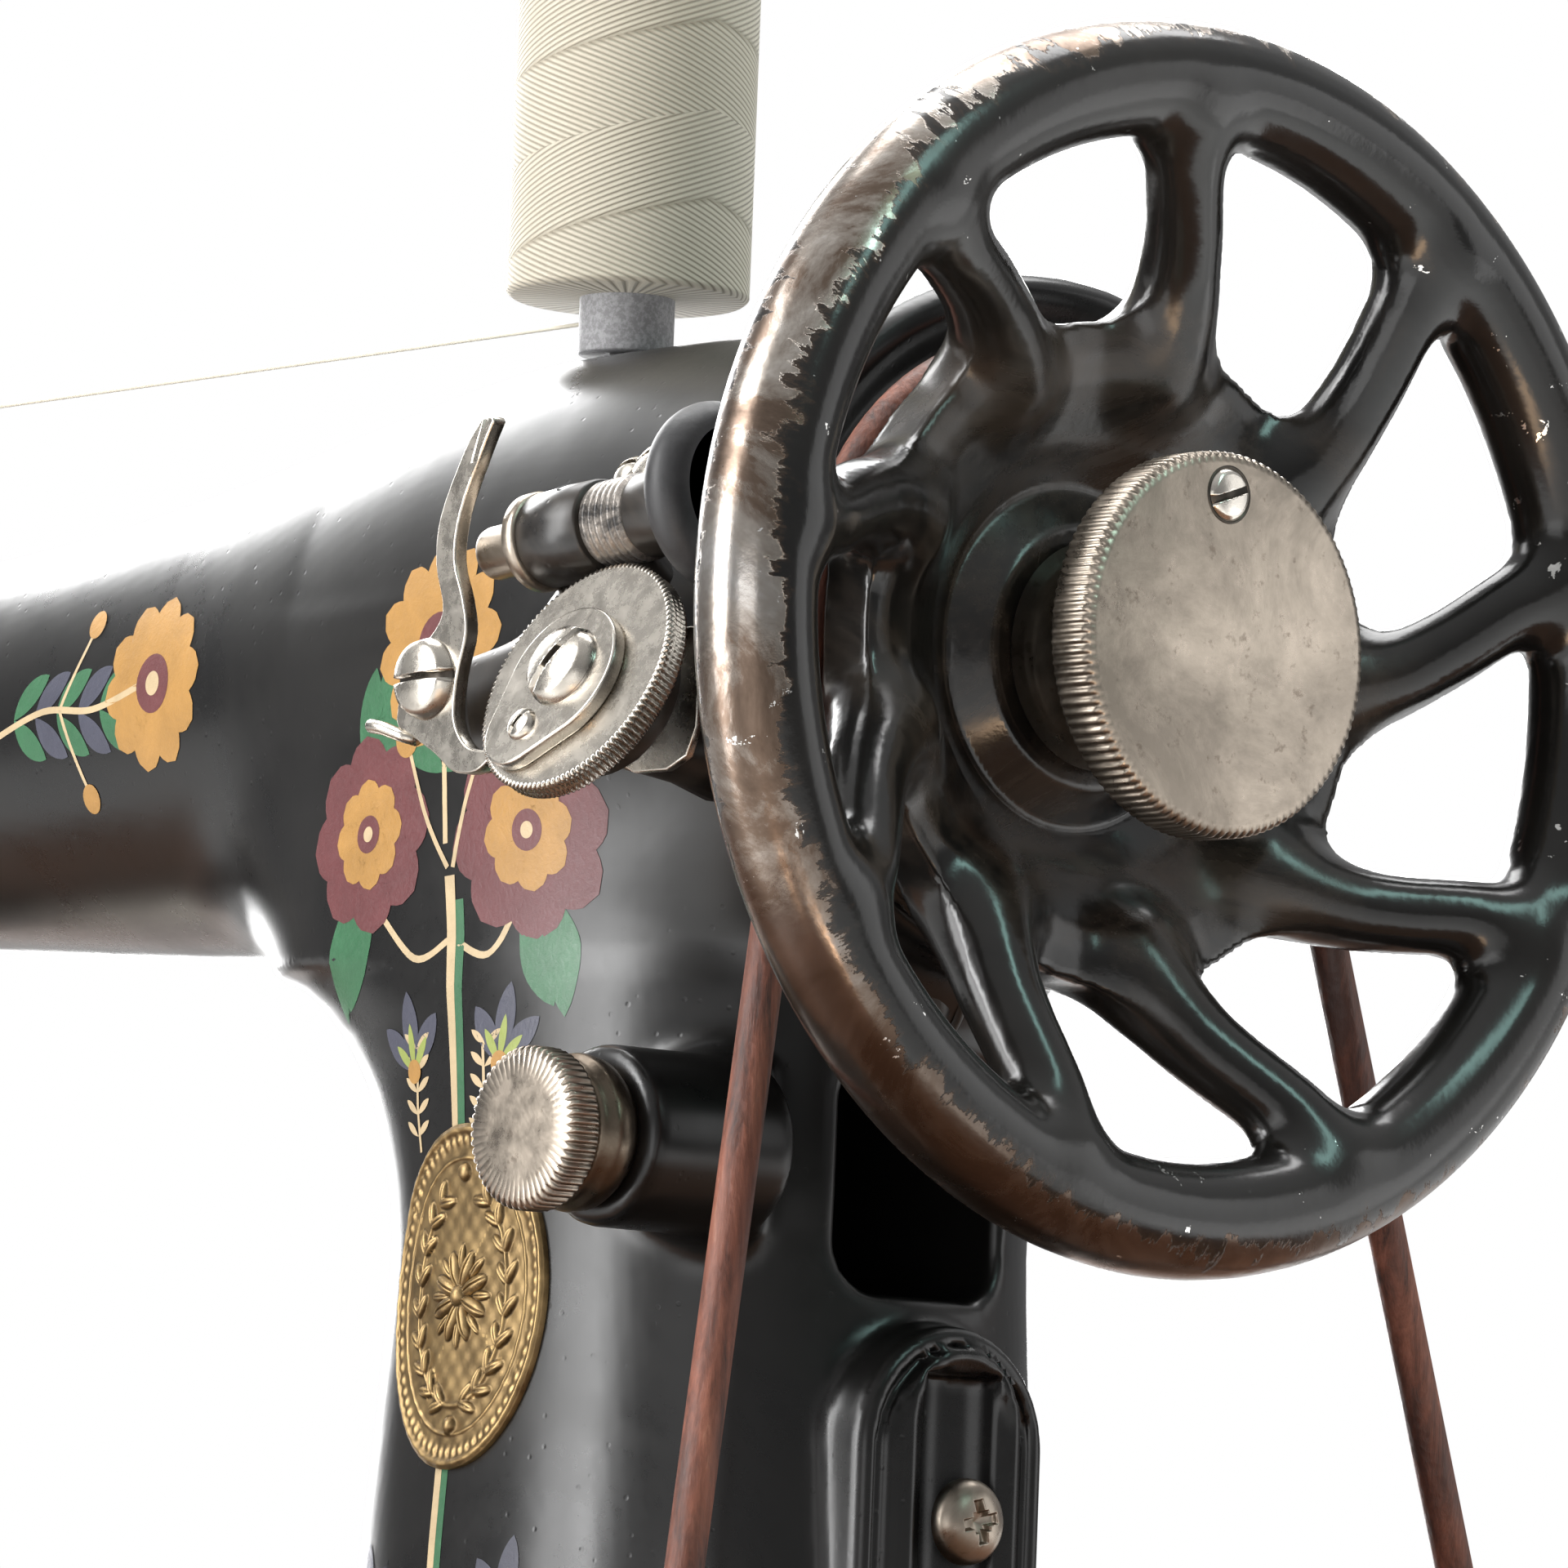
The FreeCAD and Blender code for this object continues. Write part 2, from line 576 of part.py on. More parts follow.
# ---------------------------------------------------------------- head casting
def make_bed():
    low = ("bed_left", "bed_front", "bed_top - bed_depth")
    high = ("bed_right", "bed_back", "bed_top")
    plate = box(low, high)
    hollow = box(("bed_left + 10", "bed_front + 10", "bed_top - bed_depth - 5"),
                 ("bed_right - 10", "bed_back - 10", "bed_top - bed_plate"))
    plate_seat = box(("bed_left - 5", -32, "bed_top - 2.4"), (-50, 32, "bed_top + 5"))
    needle_well = box((-95, -25, "bed_top - bed_depth - 5"), (-54, 25, "bed_top + 5"))
    shuttle_well = box(("bed_left + 4", -25, "bed_top - bed_depth - 5"),
                       (-101, 25, "bed_top + 5"))
    hangers = []
    for x in (-30, 150):
        hangers.append(box((x, -18, 722), (x + 12, 2, "bed_top - bed_plate")))
    bores = cylinder("hook_shaft_radius + running_gap", 400, (-110, "needle_y", "hook_z"), "X")
    shell = cut(plate, [hollow, plate_seat, needle_well, shuttle_well])
    finish(cut(fuse([shell] + hangers), [bores]), "bed_casting")

    hinges = []
    for x in (-60, 150):
        barrel = cylinder(4, 30, (x, "bed_back + 7", "table_top + 4.1"), "X")
        foot = cylinder(2.4, 4, (x + 15, "bed_back + 7", "table_top"))
        hinges.append(fuse([barrel, foot]))
    finish(group(hinges), "head_hinges")

    needle_plate = box((-98, -31.6, "bed_top - 2.4"), (-50.4, 31.6, "bed_top"))
    slots = [cylinder(1.6, 10, ("needle_x", "needle_y", "bed_top - 5"))]
    for x in (-77.5, -69.5):
        slots.append(box((x, -20, "bed_top - 5"), (x + 3, -11.5, "bed_top + 5")))
        slots.append(box((x, -3.5, "bed_top - 5"), (x + 3, 16, "bed_top + 5")))
    finish(cut(needle_plate, slots), "needle_plate")

    slide = box(("bed_left + 0.5", -31.6, "bed_top - 2.2"), (-98.4, 31.6, "bed_top"))
    grip = cylinder(5, 10, (-122, 0, "bed_top - 0.8"))
    finish(cut(slide, [grip]), "slide_plate")

    carrier = box((-79, -1.5, 752), (-65, 12, 756))
    rows = []
    for x in (-76.9, -68.9):
        rows.append(box((x, -1.2, 755), (x + 1.8, 13.6, "bed_top + 0.2")))
    finish(fuse([carrier] + rows), "feed_dog")

    hook = fuse([
        cylinder(18, 13, (-90, "needle_y", "hook_z"), "X"),
        cylinder(9, 4, (-93, "needle_y", "hook_z"), "X"),
    ])
    race = cut(hook, [cylinder(13, 9, (-93.5, "needle_y", "hook_z"), "X")])
    bobbin_case = cylinder(12.6, 7, (-92, "needle_y", "hook_z"), "X")
    finish(fuse([race, bobbin_case]), "shuttle_hook")
    finish(cylinder("hook_shaft_radius", 277, (-77, "needle_y", "hook_z"), "X"), "lower_shaft")


def make_arm():
    """Arm, pillar and needle head: one casting with a shaft bore and a cored pillar."""
    axis_z = size("shaft_z")
    top_edge = [(-70, 25, 20), (24, 26.6, 22), (60, 29.7, 24), (95, 34.7, 27),
                (128, 40.3, 31), (152, 43.8, 35), (178, 44.2, 38), (205, 44.5, 41)]
    bottom_edge = [-25, -26.2, -28.4, -30.4, -33.5, -36, -37, -37]
    wires = []
    for (x, top, half_y), bottom in zip(top_edge, bottom_edge):
        centre = Vector(x, 0, axis_z + (top + bottom) / 2)
        wires.append(ellipse_wire(centre, half_y, (top - bottom) / 2, "YZ"))
    flare = Vector(226.6, 8, axis_z + 5.0)
    wires.append(ellipse_wire(flare, 46.0, 43.0, "YZ"))
    arm = Part.makeLoft(wires, True, False)

    bed_top = size("bed_top")
    levels = [(0, 46, 42), (56, 42.5, 38.5), (100, 40, 36), (124, 41, 36.5), (160, 41, 36.5)]
    rings = [ellipse_wire(Vector(size("pillar_x"), 0, bed_top + rise), half_x, half_y, "XY")
             for rise, half_x, half_y in levels]
    pillar = Part.makeLoft(rings, True, False)

    half = size("head_half_depth")
    bottom, top = size("head_bottom"), size("head_top")
    head = Part.makeBox(size("head_right") - size("head_left"), 2 * half, top - bottom,
                        Vector(size("head_left"), -half, bottom))
    upright = [edge for edge in head.Edges if abs(edge.tangentAt(0).z) > 0.9]
    head = head.makeFillet(9, upright)
    crown = [edge for edge in head.Edges if edge.BoundBox.ZMin > top - 0.1]
    head = head.makeFillet(8, crown)

    bracket = Part.makeBox(12, 32, 85.5, Vector(218, -16, bed_top))
    collar = Part.makeCylinder(10.9, 34, Vector(size("regulator_x"), -46.5, size("regulator_z")),
                               Vector(0, 1, 0))
    solid = arm.fuse([pillar, head, bracket, collar])

    running = size("running_gap")
    along = Vector(1, 0, 0)
    shaft_bore = Part.makeCylinder(size("shaft_radius") + running, 300,
                                   Vector(-58, 0, axis_z), along)
    mouth = Part.makeCone(20, 38, 14, Vector(213, 2, axis_z + 1), along)
    channel = Part.makeCylinder(6, 120, Vector(231, -3, bed_top - 5))
    core = Part.makeBox(60, 26, 60, Vector(158, -13, axis_z - 86))
    window = Part.makeBox(30, 26, 27, Vector(205, -13, axis_z - 77))
    head_core = Part.makeBox(49, 2 * half - 10, 112,
                             Vector(size("head_left") - 1, -half + 5, bottom + 8))
    bar_x, bar_y = size("needle_x"), size("needle_y")
    bar_bore = Part.makeCylinder(size("bar_radius") + running, 200,
                                 Vector(bar_x, bar_y, bottom - 20))
    presser_bore = Part.makeCylinder(size("bar_radius") + running, 100,
                                     Vector(bar_x, bar_y + 18, bottom - 20))
    screw_bore = Part.makeCylinder(5 + running, 30, Vector(bar_x, bar_y + 18, top - 12))
    lever_slot = Part.makeBox(5, 20, 48, Vector(-89.5, -half - 5, axis_z - 26))
    spool_hole = Part.makeCylinder(2, 40, Vector(size("spool_x"), 0, axis_z + 30))
    guide_hole = Part.makeCylinder(1.4, 20, Vector(-15, 0, axis_z + 22))
    regulator_hole = Part.makeCylinder(
        3, 9, Vector(size("regulator_x"), -47, size("regulator_z")), Vector(0, 1, 0))
    solid = solid.cut([guide_hole, regulator_hole, shaft_bore, mouth, channel, core, window,
                       head_core, bar_bore, presser_bore, screw_bore, lever_slot, spool_hole])
    below_bed = Part.makeBox(800, 400, 50, Vector(-400, -200, bed_top - 50))
    finish(formed(solid.cut(below_bed).removeSplitter()), "arm_casting")


def make_head_fittings():
    half = "head_half_depth"
    plate = box(("head_left - 3", "-%s + 2" % half, "head_bottom + 2"),
                ("head_left", "%s - 2" % half, "head_top - 10"))
    pin = cylinder(2.5, 22, ("head_left - 1", 1, "shaft_z - 5"), "X")
    finish(fuse([plate, pin]), "face_plate")

    ring_plate = turned([(0, 0), (0, 24), (1.5, 22), (2.5, 0)],
                        ("pillar_x", 41.0, "shaft_z + 2"), "Y")
    finish(ring_plate, "rear_cover")

    oval = Part.Face(ellipse_wire(Vector(0, 0, 0), 16, 21.5, "XY")).extrude(Vector(0, 0, 2))
    oval.rotate(Vector(0, 0, 0), Vector(1, 0, 0), 90)
    oval.translate(Vector(size("badge_x"), -38.0, size("badge_z")))
    finish(formed(oval), "badge")

    screws = []
    for z in (850, 935):
        screws.append(cylinder(3.4, 1.6, ("head_left - 4.6", 0, z), "X"))
    screws.append(turned([(0, 0), (0, 5.25), (1.2, 4.6), (2.6, 2), (2.8, 0)],
                         (230, 0, "shaft_z - 103.7"), "X"))
    finish(group(screws), "head_screws")

    thread_z = "shaft_z + 49.4"
    guides = []
    for x, foot_z in ((-60, "head_top"), (-15, "shaft_z + 25.2")):
        stem = cylinder(1.4, "%s - 3.5 - (%s)" % (thread_z, foot_z), (x, 0, foot_z))
        guides.append(fuse([stem, ring(3, 1, (x, 0, thread_z), "X")]))
    finish(group(guides), "thread_guides")


def make_needle_gear():
    bar = cylinder("bar_radius", 162, ("needle_x", "needle_y", 808))
    finish(bar, "needle_bar")
    finish(needle_set(), "needle")

    presser_y = "needle_y + 18"
    finish(cylinder("bar_radius", 165, ("needle_x", presser_y, 775)), "presser_bar")
    shank = box(("needle_x - 5", "%s - 5.5" % presser_y, 765),
                ("needle_x + 5", "%s + 5.5" % presser_y, 787))
    shank_bore = cylinder("bar_radius", 40, ("needle_x", presser_y, 775))
    sole = box(("needle_x - 8", -24, "bed_top + fit_gap"), ("needle_x + 8", 12, 764.4))
    neck = box(("needle_x - 4", 3, 764), ("needle_x + 4", 10, 767))
    needle_slot = cylinder(2.6, 20, ("needle_x", "needle_y", 760))
    mouth = box(("needle_x - 1.2", -26, 760), ("needle_x + 1.2", -9, 770))
    foot = cut(fuse([shank, sole, neck]), [shank_bore, needle_slot, mouth])
    finish(foot, "presser_foot")

    lifter = fuse([
        cylinder(7, 5, ("needle_x", "head_half_depth + fit_gap", 850), "Y"),
        box(("needle_x - 3.5", "head_half_depth + fit_gap", 806),
            ("needle_x + 3.5", "head_half_depth + fit_gap + 4", 850)),
        cylinder(6, 9, ("needle_x", "head_half_depth + fit_gap", 806), "Y"),
    ])
    finish(lifter, "presser_lifter")

    screw = turned([(-9, 0), (-9, 5), (0.3, 5), (0.3, 8), (2, 9), (10, 9), (12, 7), (12, 0)],
                   ("needle_x", presser_y, "head_top"), "Z")
    finish(screw, "presser_screw")

    pivot = Vector(-88.5, 1, size("shaft_z") - 5)
    angle = math.radians(20)
    reach = Vector(0, -math.cos(angle), math.sin(angle))
    arm = Part.makeCylinder(1.5, 44, pivot + reach * 3 + Vector(1.5, 0, 0), reach)
    eye = Part.makeCylinder(6, 3, pivot, Vector(1, 0, 0))
    tip = Part.makeCylinder(3, 3, pivot + reach * 47, Vector(1, 0, 0))
    holes = [
        Part.makeCylinder(2.5 + size("running_gap"), 9, pivot - Vector(3, 0, 0),
                          Vector(1, 0, 0)),
        Part.makeCylinder(1.2, 9, pivot + reach * 47 - Vector(3, 0, 0), Vector(1, 0, 0)),
    ]
    finish(formed(arm.fuse([eye, tip]).cut(holes)), "take_up_lever")

    front = "-head_half_depth"
    discs = fuse([
        cylinder(2.4, 17, (-66, front, 897), "-Y"),
        turned([(0, 0), (0, 7), (2, 7), (3, 11), (4, 11.4), (5.4, 8), (6.8, 11.4),
                (7.8, 11), (8.6, 6), (8.6, 0)], (-66, front, 897), "-Y"),
    ])
    finish(discs, "tension_discs")
    nut = turned([(9, 2.46), (9, 5), (10, 7.5), (14.5, 7.5), (15.5, 6.5), (15.5, 2.46)],
                 (-66, front, 897), "-Y")
    finish(nut, "tension_nut")


def needle_set():
    """The needle with its clamp block and screw round the lower end of the needle bar."""
    clamp_low, clamp_high, point_low, blade_low = 803, 815, 774, 780
    blade_radius, tip_radius = 0.6, 0.15
    foot = Vector(size("needle_x"), size("needle_y"), clamp_low)
    bar_end = foot + Vector(0, 0, 5)
    block = Part.makeCylinder(5.2, clamp_high - clamp_low, foot)
    bore = Part.makeCylinder(size("bar_radius"), 8, bar_end)
    screw = Part.makeCylinder(2.2, 7, bar_end + Vector(4, 0, 0), Vector(1, 0, 0))
    blade = Part.makeCylinder(blade_radius, clamp_low - blade_low + 1,
                              foot - Vector(0, 0, clamp_low - blade_low))
    point = Part.makeCone(tip_radius, blade_radius, blade_low - point_low,
                          foot - Vector(0, 0, clamp_low - point_low))
    return formed(block.cut(bore).fuse([screw, blade, point]))


# ---------------------------------------------------------------- regulator, spool, winder
def make_regulator():
    at = ("regulator_x", -46.5, "regulator_z")
    collar = turned([(0, 3), (0, 8), (3.3, 9.5), (6.4, 8.4), (6.4, 3)], at, "-Y")
    finish(collar, "regulator_collar")
    knob = turned([(-6, 0), (-6, 2.94), (6.7, 2.94), (6.7, "regulator_radius - 1"),
                   (7.4, "regulator_radius"), (10.8, "regulator_radius"),
                   (11.5, "regulator_radius - 0.7"), (11.7, 0)], at, "-Y")
    finish(knob, "regulator_knob")


def make_spool():
    top = "shaft_z + 44.4"
    finish(cylinder(2, 92, ("spool_x", 0, "shaft_z + 30")), "spool_pin")
    core = turned([(0, 2.5), (0, "spool_core_radius"), ("spool_height + 10", "spool_core_radius"),
                   ("spool_height + 10", 2.5)], ("spool_x", 0, top), "Z")
    finish(core, "spool_core")
    winding = turned([
        (7.3, "spool_core_radius"), (7.3, "spool_radius - 0.6"), (8.2, "spool_radius"),
        ("spool_height + 5", "spool_radius"), ("spool_height + 6", "spool_radius - 0.8"),
        ("spool_height + 6", "spool_core_radius")], ("spool_x", 0, top), "Z")
    finish(winding, "spool_thread")
    start = "spool_x - spool_core_radius - 0.5"
    finish(cylinder("thread_radius", "%s + 61" % start, (-61, 0, "shaft_z + 49.4"), "X"),
           "upper_thread")


def make_winder():
    """A bobbin winder: spindle with worm and tyre, worm wheel, cam, latch, tilting frame."""
    offset = Vector(size("wheel_x"), 0, size("shaft_z"))
    axis = Vector(0.992, 0.061, 0.106).normalize()
    nose = Vector(-64.8, -54, 9.6) + offset
    pin = size("spindle_radius")
    worm = size("worm_radius")
    spindle = Part.makeCylinder(pin, 9, nose, axis)
    spindle = spindle.fuse([
        Part.makeCylinder(6, 2, nose + axis * 8, axis),
        Part.makeCylinder(2.5, 32, nose + axis * 9, axis),
        Part.makeCylinder(worm, 6, nose + axis * 21, axis),
    ])
    finish(formed(spindle), "winder_spindle")
    width = size("tyre_width")
    tyre_at = nose + axis * (39.6 - width / 2)
    tyre = Part.makeCylinder(size("tyre_radius"), width, tyre_at, axis)
    tyre = tyre.makeFillet(2.6, tyre.Edges)
    tyre = tyre.cut(Part.makeCylinder(2.5, 20, tyre_at - axis * 5, axis))
    finish(formed(tyre), "winder_tyre")

    normal = Vector(0, -0.917, 0.40).normalize()
    centre = Vector(-39, -61.5, -7.3) + offset
    thick = size("worm_wheel_thick")
    wheel = Part.makeCylinder(size("worm_wheel_radius"), thick, centre - normal * thick, normal)
    wheel = wheel.fuse(Part.makeCylinder(6, 4, centre - normal * (thick + 4), normal))
    bore = Part.makeCylinder(2.5 + size("running_gap"), 20, centre - normal * 12, normal)
    finish(formed(wheel.cut(bore)), "winder_worm_wheel")
    across = Vector(1, 0, 0)
    uphill = normal.cross(across)
    cam = Part.makeCylinder(8.5, 2, centre - across - uphill, normal)
    cam = cam.fuse([
        Part.makeCylinder(5.5, 2, centre - across * 3.2 - uphill * 6.4, normal),
        Part.makeCylinder(5.2, 2.6, centre + normal * 2, normal),
        Part.makeCylinder(2.1, 1.2, centre - across * 3.4 - uphill * 7.2 + normal * 2, normal),
    ])
    finish(formed(cam.cut(bore)), "winder_cam")

    make_winder_frame(nose, axis, centre, normal)
    make_winder_latch()


def make_winder_frame(nose, axis, centre, normal):
    """The tilting frame that carries the spindle and worm wheel, and its fixed bracket."""
    along = Vector(1, 0, 0)
    running = size("running_gap")
    hinge = Vector(204, size("tilt_y"), size("tilt_z"))
    pieces = [
        Part.makeCylinder(5, 9.6, nose + axis * 10.3, axis),
        Part.makeCylinder(4.6, 6.5, nose + axis * 28.3, axis),
        Part.makeCylinder(2.5, 13.6, centre - normal * 12, normal),
        Part.makeBox(25, 4, 40, Vector(204, -51, 898)),
        Part.makeBox(20, 4, 14, Vector(185, -51, 914)),
        Part.makeCylinder(3.2, 25, hinge, along),
    ]
    frame = pieces[0].fuse(pieces[1:])
    frame = frame.cut([
        Part.makeCylinder(2.5 + running, 60, nose, axis),
        Part.makeCylinder(6.4, 6, nose + axis * 4.25, axis),
        Part.makeCylinder(size("worm_radius") + 0.5, 7.6, nose + axis * 20.2, axis),
        Part.makeCylinder(size("tyre_radius") + 1, 30, nose + axis * 35.4, axis),
        Part.makeCylinder(1.5 + running, 60, hinge - along * 10, along),
    ])
    finish(formed(frame), "winder_frame")

    ears = [
        Part.makeBox(3, 30, 9, Vector(200.6, -53, 897.5)),
        Part.makeBox(2.1, 30, 9, Vector(229.4, -53, 897.5)),
        Part.makeBox(30.9, 18, 9, Vector(200.6, -43, 897.5)),
        Part.makeCylinder(1.5, 30.9, hinge - along * 3.4, along),
    ]
    doc.recompute()
    arm = [item for item in PARTS if item.Label == "arm_casting"][0]
    finish(formed(ears[0].fuse(ears[1:]).cut(arm.Shape)), "winder_bracket")


def make_winder_latch():
    """The latch: an S-bent steel strip with a slotted head, a hooked finger and a side pin."""
    front = -60.0
    outward = Vector(0, -1, 0)

    def at(x, z):
        return Vector(x, front + 2, z)

    pivot = at(size("latch_x"), size("latch_z"))
    paths = [
        [at(199.7, 950.7), at(196, 945), at(193, 940), at(192.2, 935.5), at(195.3, 931),
         at(198.3, 926), at(199.2, 921.5), at(198.3, 915), at(200.5, 911), at(205.5, 910)],
        [at(184.8, 914.7), pivot, at(198.5, 917)],
    ]
    strip = bars(paths, 2.2, 2, outward)
    eye = Part.makeCylinder(5, 2, pivot, outward)
    bore = Part.makeCylinder(2.5 + size("running_gap"), 20, pivot - outward * 9, outward)
    finish(formed(strip.fuse(eye).cut(bore)), "winder_latch")

    screw = Part.makeCylinder(2.5, 9.2, pivot + Vector(0, 7, 0), outward)
    head = Part.makeCylinder(5.5, 2.4, pivot + outward * 2.2, outward)
    finish(formed(screw.fuse(head)), "winder_screws")


# ---------------------------------------------------------------- build and write
make_stand()
make_table()
make_drawers(-1, "left")
make_drawers(1, "right")
make_band_wheel()
make_pitman()
make_treadle()
make_belt()
make_hand_wheel()
make_bed()
make_arm()
make_head_fittings()
make_needle_gear()
make_regulator()
make_spool()
make_winder()
doc.recompute()

for item in doc.Objects:
    if "Invalid" in item.State or "Error" in item.State:
        raise RuntimeError("%s (%s) did not compute: %s" % (item.Name, item.Label, item.State))
for item in PARTS:
    if item.Shape.isNull() or not item.Shape.isValid():
        raise RuntimeError("%s has no valid shape" % item.Label)

os.makedirs("parts", exist_ok=True)
for item in PARTS:
    item.Shape.exportStep("parts/%s.step" % item.Label)
    print("%-22s solids %d volume %.0f" % (item.Label, len(item.Shape.Solids), item.Shape.Volume))
print("nodes", len(PARTS))
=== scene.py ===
"""The looks of a treadle sewing machine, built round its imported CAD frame."""

import json
import math

import bmesh
import bpy
import numpy as np
import openvdb
from mathutils import Matrix, Vector
from mathutils.bvhtree import BVHTree


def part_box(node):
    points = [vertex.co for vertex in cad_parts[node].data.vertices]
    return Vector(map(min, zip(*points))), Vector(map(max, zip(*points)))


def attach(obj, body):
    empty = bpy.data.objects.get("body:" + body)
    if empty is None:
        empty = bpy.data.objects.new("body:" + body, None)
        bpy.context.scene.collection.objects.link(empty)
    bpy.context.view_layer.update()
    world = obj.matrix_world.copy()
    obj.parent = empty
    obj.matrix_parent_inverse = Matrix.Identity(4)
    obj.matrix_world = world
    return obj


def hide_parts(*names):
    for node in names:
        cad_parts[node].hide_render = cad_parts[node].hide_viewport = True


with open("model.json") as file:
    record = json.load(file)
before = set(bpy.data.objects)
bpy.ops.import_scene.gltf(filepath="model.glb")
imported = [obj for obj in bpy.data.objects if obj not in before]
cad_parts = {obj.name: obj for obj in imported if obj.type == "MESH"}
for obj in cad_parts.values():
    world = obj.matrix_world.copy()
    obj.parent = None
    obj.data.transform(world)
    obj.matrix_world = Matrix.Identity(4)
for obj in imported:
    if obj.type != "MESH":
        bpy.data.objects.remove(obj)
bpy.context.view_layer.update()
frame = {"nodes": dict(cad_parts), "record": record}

JOINTS = {joint["name"]: joint for joint in frame["record"]["behaviour"]["joints"]}
WHEEL_AT = Vector(JOINTS["handwheel_spin"]["pos_m"])
MM = 0.001
WELD_GAP = 0.01 * MM
RIM_MIDDLE = 67.9  # mm from the shaft to the middle of the hand wheel's rim
RIM_BAR = 7.1  # mm, radius of the rim's round bar
SPOKES = 9
BELT_RADIUS = 2.4  # mm
BELT_ON_WHEEL = 37.5  # mm from the shaft to the belt's middle line
UP = Vector((0, 0, 1))
ALONG = Vector((1, 0, 0))
FRONT = Vector((0, -1, 0))


# ---------------------------------------------------------------- places
def at(x, y, z):
    """A point given in millimetres from the middle of the hand wheel's rim, in the row frame."""
    return WHEEL_AT + Vector((x, y, z)) * MM


def low(node):
    return Vector(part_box(node)[0])


def high(node):
    return Vector(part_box(node)[1])


def middle(node):
    return (low(node) + high(node)) / 2


# ---------------------------------------------------------------- meshes
def mesh_object(name, points, faces, smooth=True):
    mesh = bpy.data.meshes.new(name)
    mesh.from_pydata([tuple(point) for point in points], [], [tuple(face) for face in faces])
    mesh.validate()
    mesh.update()
    if smooth:
        mesh.polygons.foreach_set("use_smooth", [True] * len(mesh.polygons))
    thing = bpy.data.objects.new(name, mesh)
    bpy.context.scene.collection.objects.link(thing)
    return thing


def bridge(rings, caps=True, torus=False):
    """Points and faces of a skin over closed rings that all have the same number of points."""
    count = len(rings[0])
    loops = len(rings)
    points = [point for ring in rings for point in ring]
    faces = []
    for index in range(loops if torus else loops - 1):
        here = index * count
        there = ((index + 1) % loops) * count
        for step in range(count):
            nxt = (step + 1) % count
            faces.append((here + step, here + nxt, there + nxt, there + step))
    if caps and not torus:
        faces.append(tuple(range(count))[::-1])
        faces.append(tuple((loops - 1) * count + step for step in range(count)))
    return points, faces


def axes_of(direction):
    """Two unit vectors across a direction."""
    direction = Vector(direction).normalized()
    side = direction.cross(UP if abs(direction.z) < 0.9 else ALONG).normalized()
    return direction, side, side.cross(direction).normalized() * -1


def lathe(name, base, direction, profile, segments=96, ripple=None):
    """A turned piece: the profile lists (distance, radius) in mm, ripple(angle, index) adds."""
    direction, side, over = axes_of(direction)
    rings = []
    for index, (along, radius) in enumerate(profile):
        ring = []
        for step in range(segments):
            angle = 2 * math.pi * step / segments
            reach = max(radius, 0.001)
            if ripple:
                reach += ripple(angle, index)
            ring.append(base + direction * along * MM
                        + (side * math.cos(angle) + over * math.sin(angle)) * reach * MM)
        rings.append(ring)
    points, faces = bridge(rings)
    return outward(mesh_object(name, points, faces))


def outward(thing):
    """Turn all faces outwards."""
    work = bmesh.new()
    work.from_mesh(thing.data)
    bmesh.ops.recalc_face_normals(work, faces=work.faces)
    work.to_mesh(thing.data)
    work.free()
    return thing


def weld(thing):
    """Merge points that lie together and turn all faces outwards."""
    work = bmesh.new()
    work.from_mesh(thing.data)
    bmesh.ops.remove_doubles(work, verts=work.verts, dist=WELD_GAP)
    bmesh.ops.recalc_face_normals(work, faces=work.faces)
    work.to_mesh(thing.data)
    work.free()
    return thing


def sweep(name, path, radius, segments=16, closed=False, flatten=1.0, across=None):
    """A round or oval bar along a path of points in the row frame. Radius in mm or a list."""
    count = len(path)
    radii = radius if isinstance(radius, (list, tuple)) else [radius] * count
    rings = []
    side = None
    for index, point in enumerate(path):
        ahead = path[(index + 1) % count] if closed or index < count - 1 else point
        behind = path[index - 1] if closed or index > 0 else point
        heading = (ahead - behind).normalized()
        if across is not None:
            side = (across - heading * across.dot(heading)).normalized()
        elif side is None:
            side = axes_of(heading)[1]
        else:
            side = (side - heading * side.dot(heading)).normalized()
        over = heading.cross(side)
        ring = []
        for step in range(segments):
            angle = 2 * math.pi * step / segments
            ring.append(point + (side * math.cos(angle) + over * math.sin(angle) * flatten)
                        * radii[index] * MM)
        rings.append(ring)
    points, faces = bridge(rings, torus=closed)
    return outward(mesh_object(name, points, faces))


def smooth_rows(rows, steps):
    """More rows along a smooth curve through rows of numbers (Catmull-Rom)."""
    table = np.array([rows[0], *rows, rows[-1]], float)
    result = []
    for a, b, c, d in zip(table, table[1:], table[2:], table[3:]):
        for step in range(steps):
            s = step / steps
            result.append(0.5 * (2 * b + (c - a) * s + (2 * a - 5 * b + 4 * c - d) * s ** 2
                                 + (3 * b - a - 3 * c + d) * s ** 3))
    return [*result, table[-1]]


def curved(points, steps=8):
    """A smooth curve through flat points."""
    return [tuple(map(float, row)) for row in smooth_rows(points, steps)]


